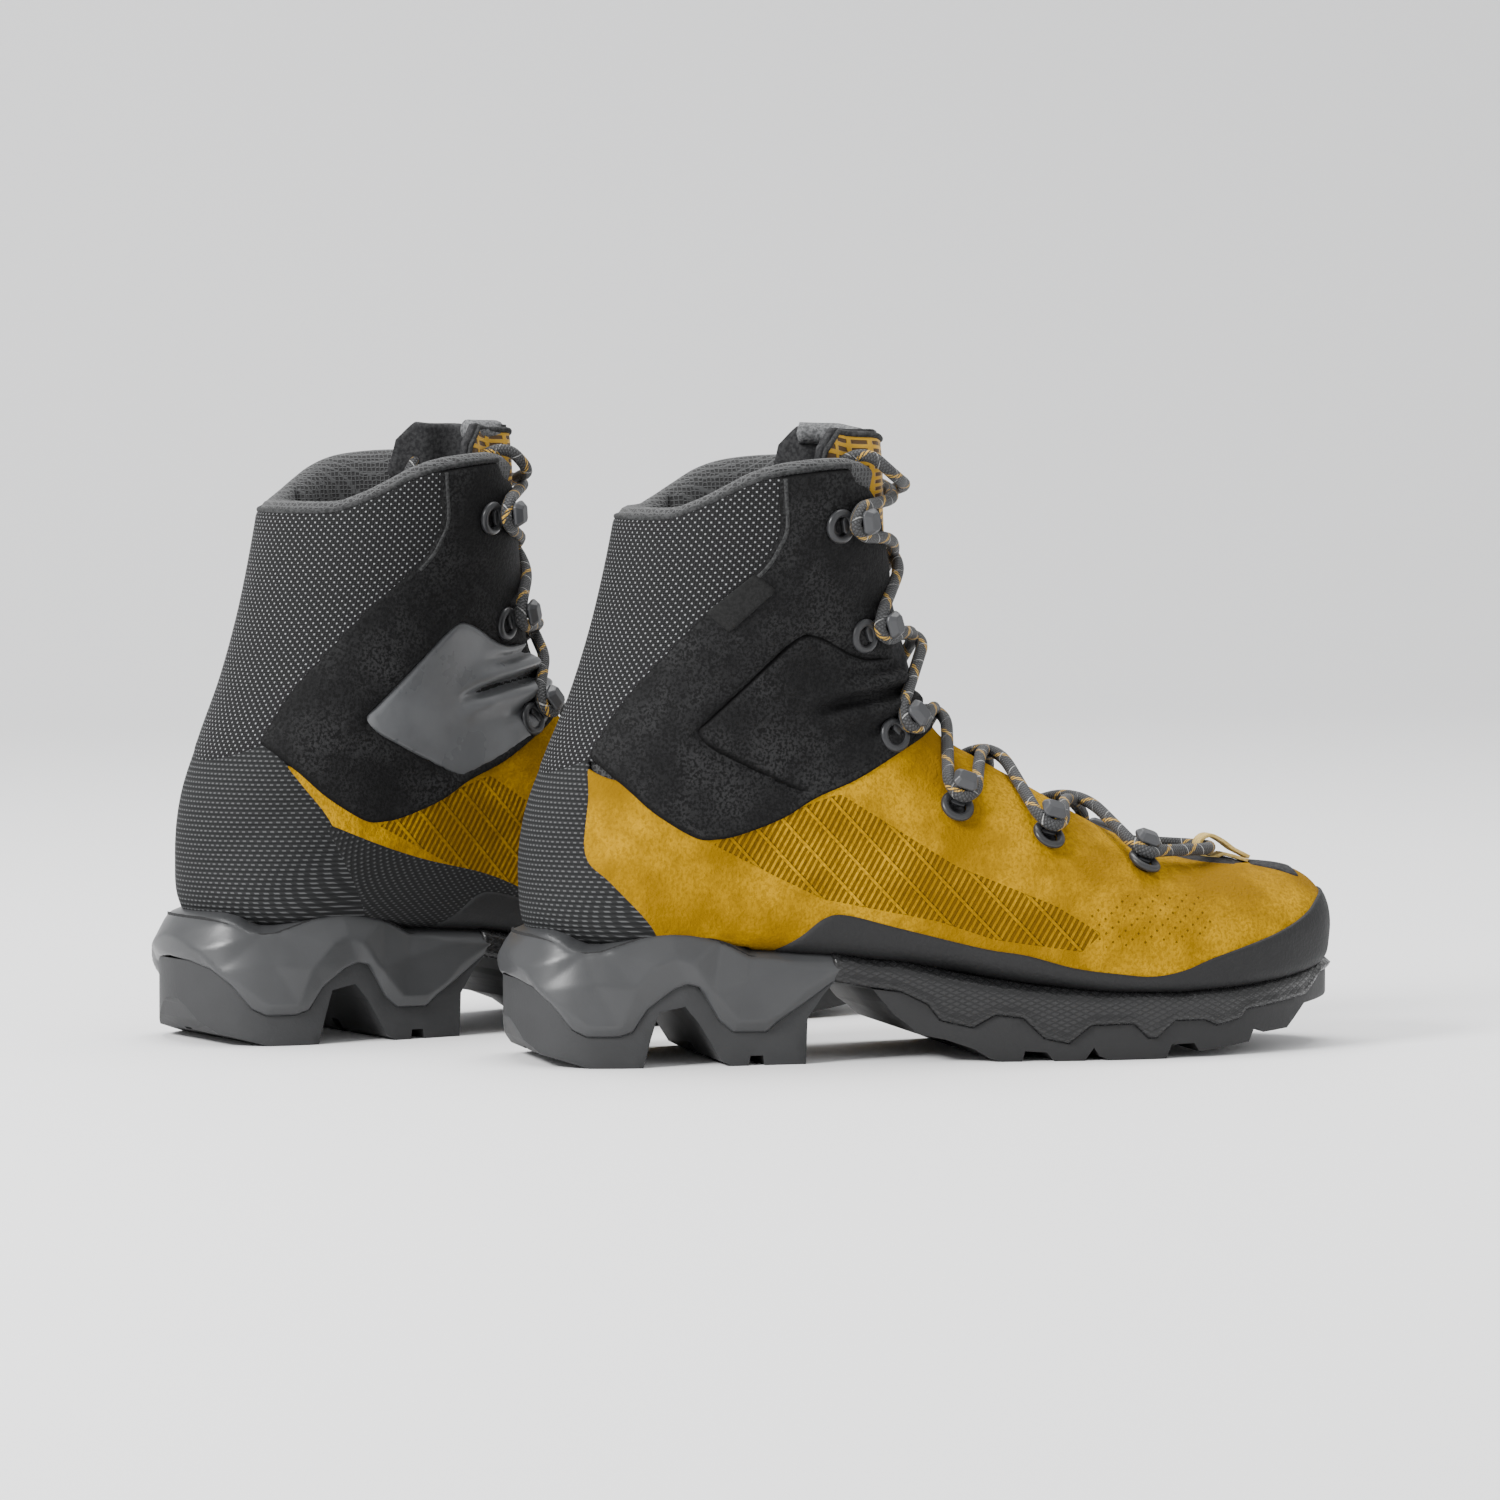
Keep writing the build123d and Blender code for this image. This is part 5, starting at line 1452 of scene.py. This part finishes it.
bend, bendAt = 1.2, 2.0    # radius of the backdrop's curve and where it starts, in metres
floorLine = [(-6.0, 0.0), (bendAt, 0.0)]
floorLine += [(bendAt + bend * math.sin(a), bend - bend * math.cos(a)) for a in np.linspace(0.1, math.pi / 2, 14)]
floorLine += [(bendAt + bend, 6.0)]
corners = [(x, y, z) for x in (-6.0, 6.0) for y, z in floorLine]
half = len(floorLine)
floorMesh = bpy.data.meshes.new("floor")
floorMesh.from_pydata(corners, [], [(k, k + half, k + half + 1, k + 1) for k in range(half - 1)])
floorMesh.polygons.foreach_set("use_smooth", [True] * (half - 1))
floorMesh.materials.append(material("floor paper", paper))
floor = bpy.data.objects.new("floor", floorMesh)
bpy.context.scene.collection.objects.link(floor)

aim = place((80.4, -35.0, 111.4), "right")
azimuth, elevation, distance = math.radians(-15.0), math.radians(3.4), 2.6
back = Vector((math.sin(azimuth) * math.cos(elevation), -math.cos(azimuth) * math.cos(elevation), math.sin(elevation)))
cameraData = bpy.data.cameras.new("camera")
cameraData.lens, cameraData.sensor_width = 177.0, 36.0
camera = bpy.data.objects.new("camera", cameraData)
camera.location = Vector(aim) + back * distance
camera.rotation_mode = "QUATERNION"
camera.rotation_quaternion = (-back).to_track_quat("-Z", "Y")
bpy.context.scene.collection.objects.link(camera)
bpy.context.scene.camera = camera


def areaLight(name, at, target, size, power, tint=(1.0, 1.0, 1.0)):
    # a rectangle of light turned from its place to the target
    data = bpy.data.lights.new(name, "AREA")
    data.shape, data.size, data.size_y, data.energy, data.color = "RECTANGLE", size[0], size[1], power, tint
    lamp = bpy.data.objects.new(name, data)
    lamp.location = at
    lamp.rotation_mode = "QUATERNION"
    lamp.rotation_quaternion = (Vector(target) - Vector(at)).to_track_quat("-Z", "Y")
    bpy.context.scene.collection.objects.link(lamp)


areaLight("key", (-2.0, -1.0, 1.6), (0.0, 0.0, 0.08), (0.8, 0.7), 110.0)
areaLight("fill", (1.6, -2.0, 1.0), (0.0, 0.0, 0.08), (1.6, 1.4), 8.0)
areaLight("top", (0.1, 0.5, 2.2), (0.0, 0.0, 0.0), (1.8, 1.2), 62.0)
world = bpy.data.worlds.new("studio")
bpy.context.scene.world = world
world.use_nodes = True
background = [n for n in world.node_tree.nodes if n.type == "BACKGROUND"][0]
background.inputs["Color"].default_value = stageLook["world"] + (1.0,)
background.inputs["Strength"].default_value = stageLook["worldStrength"]
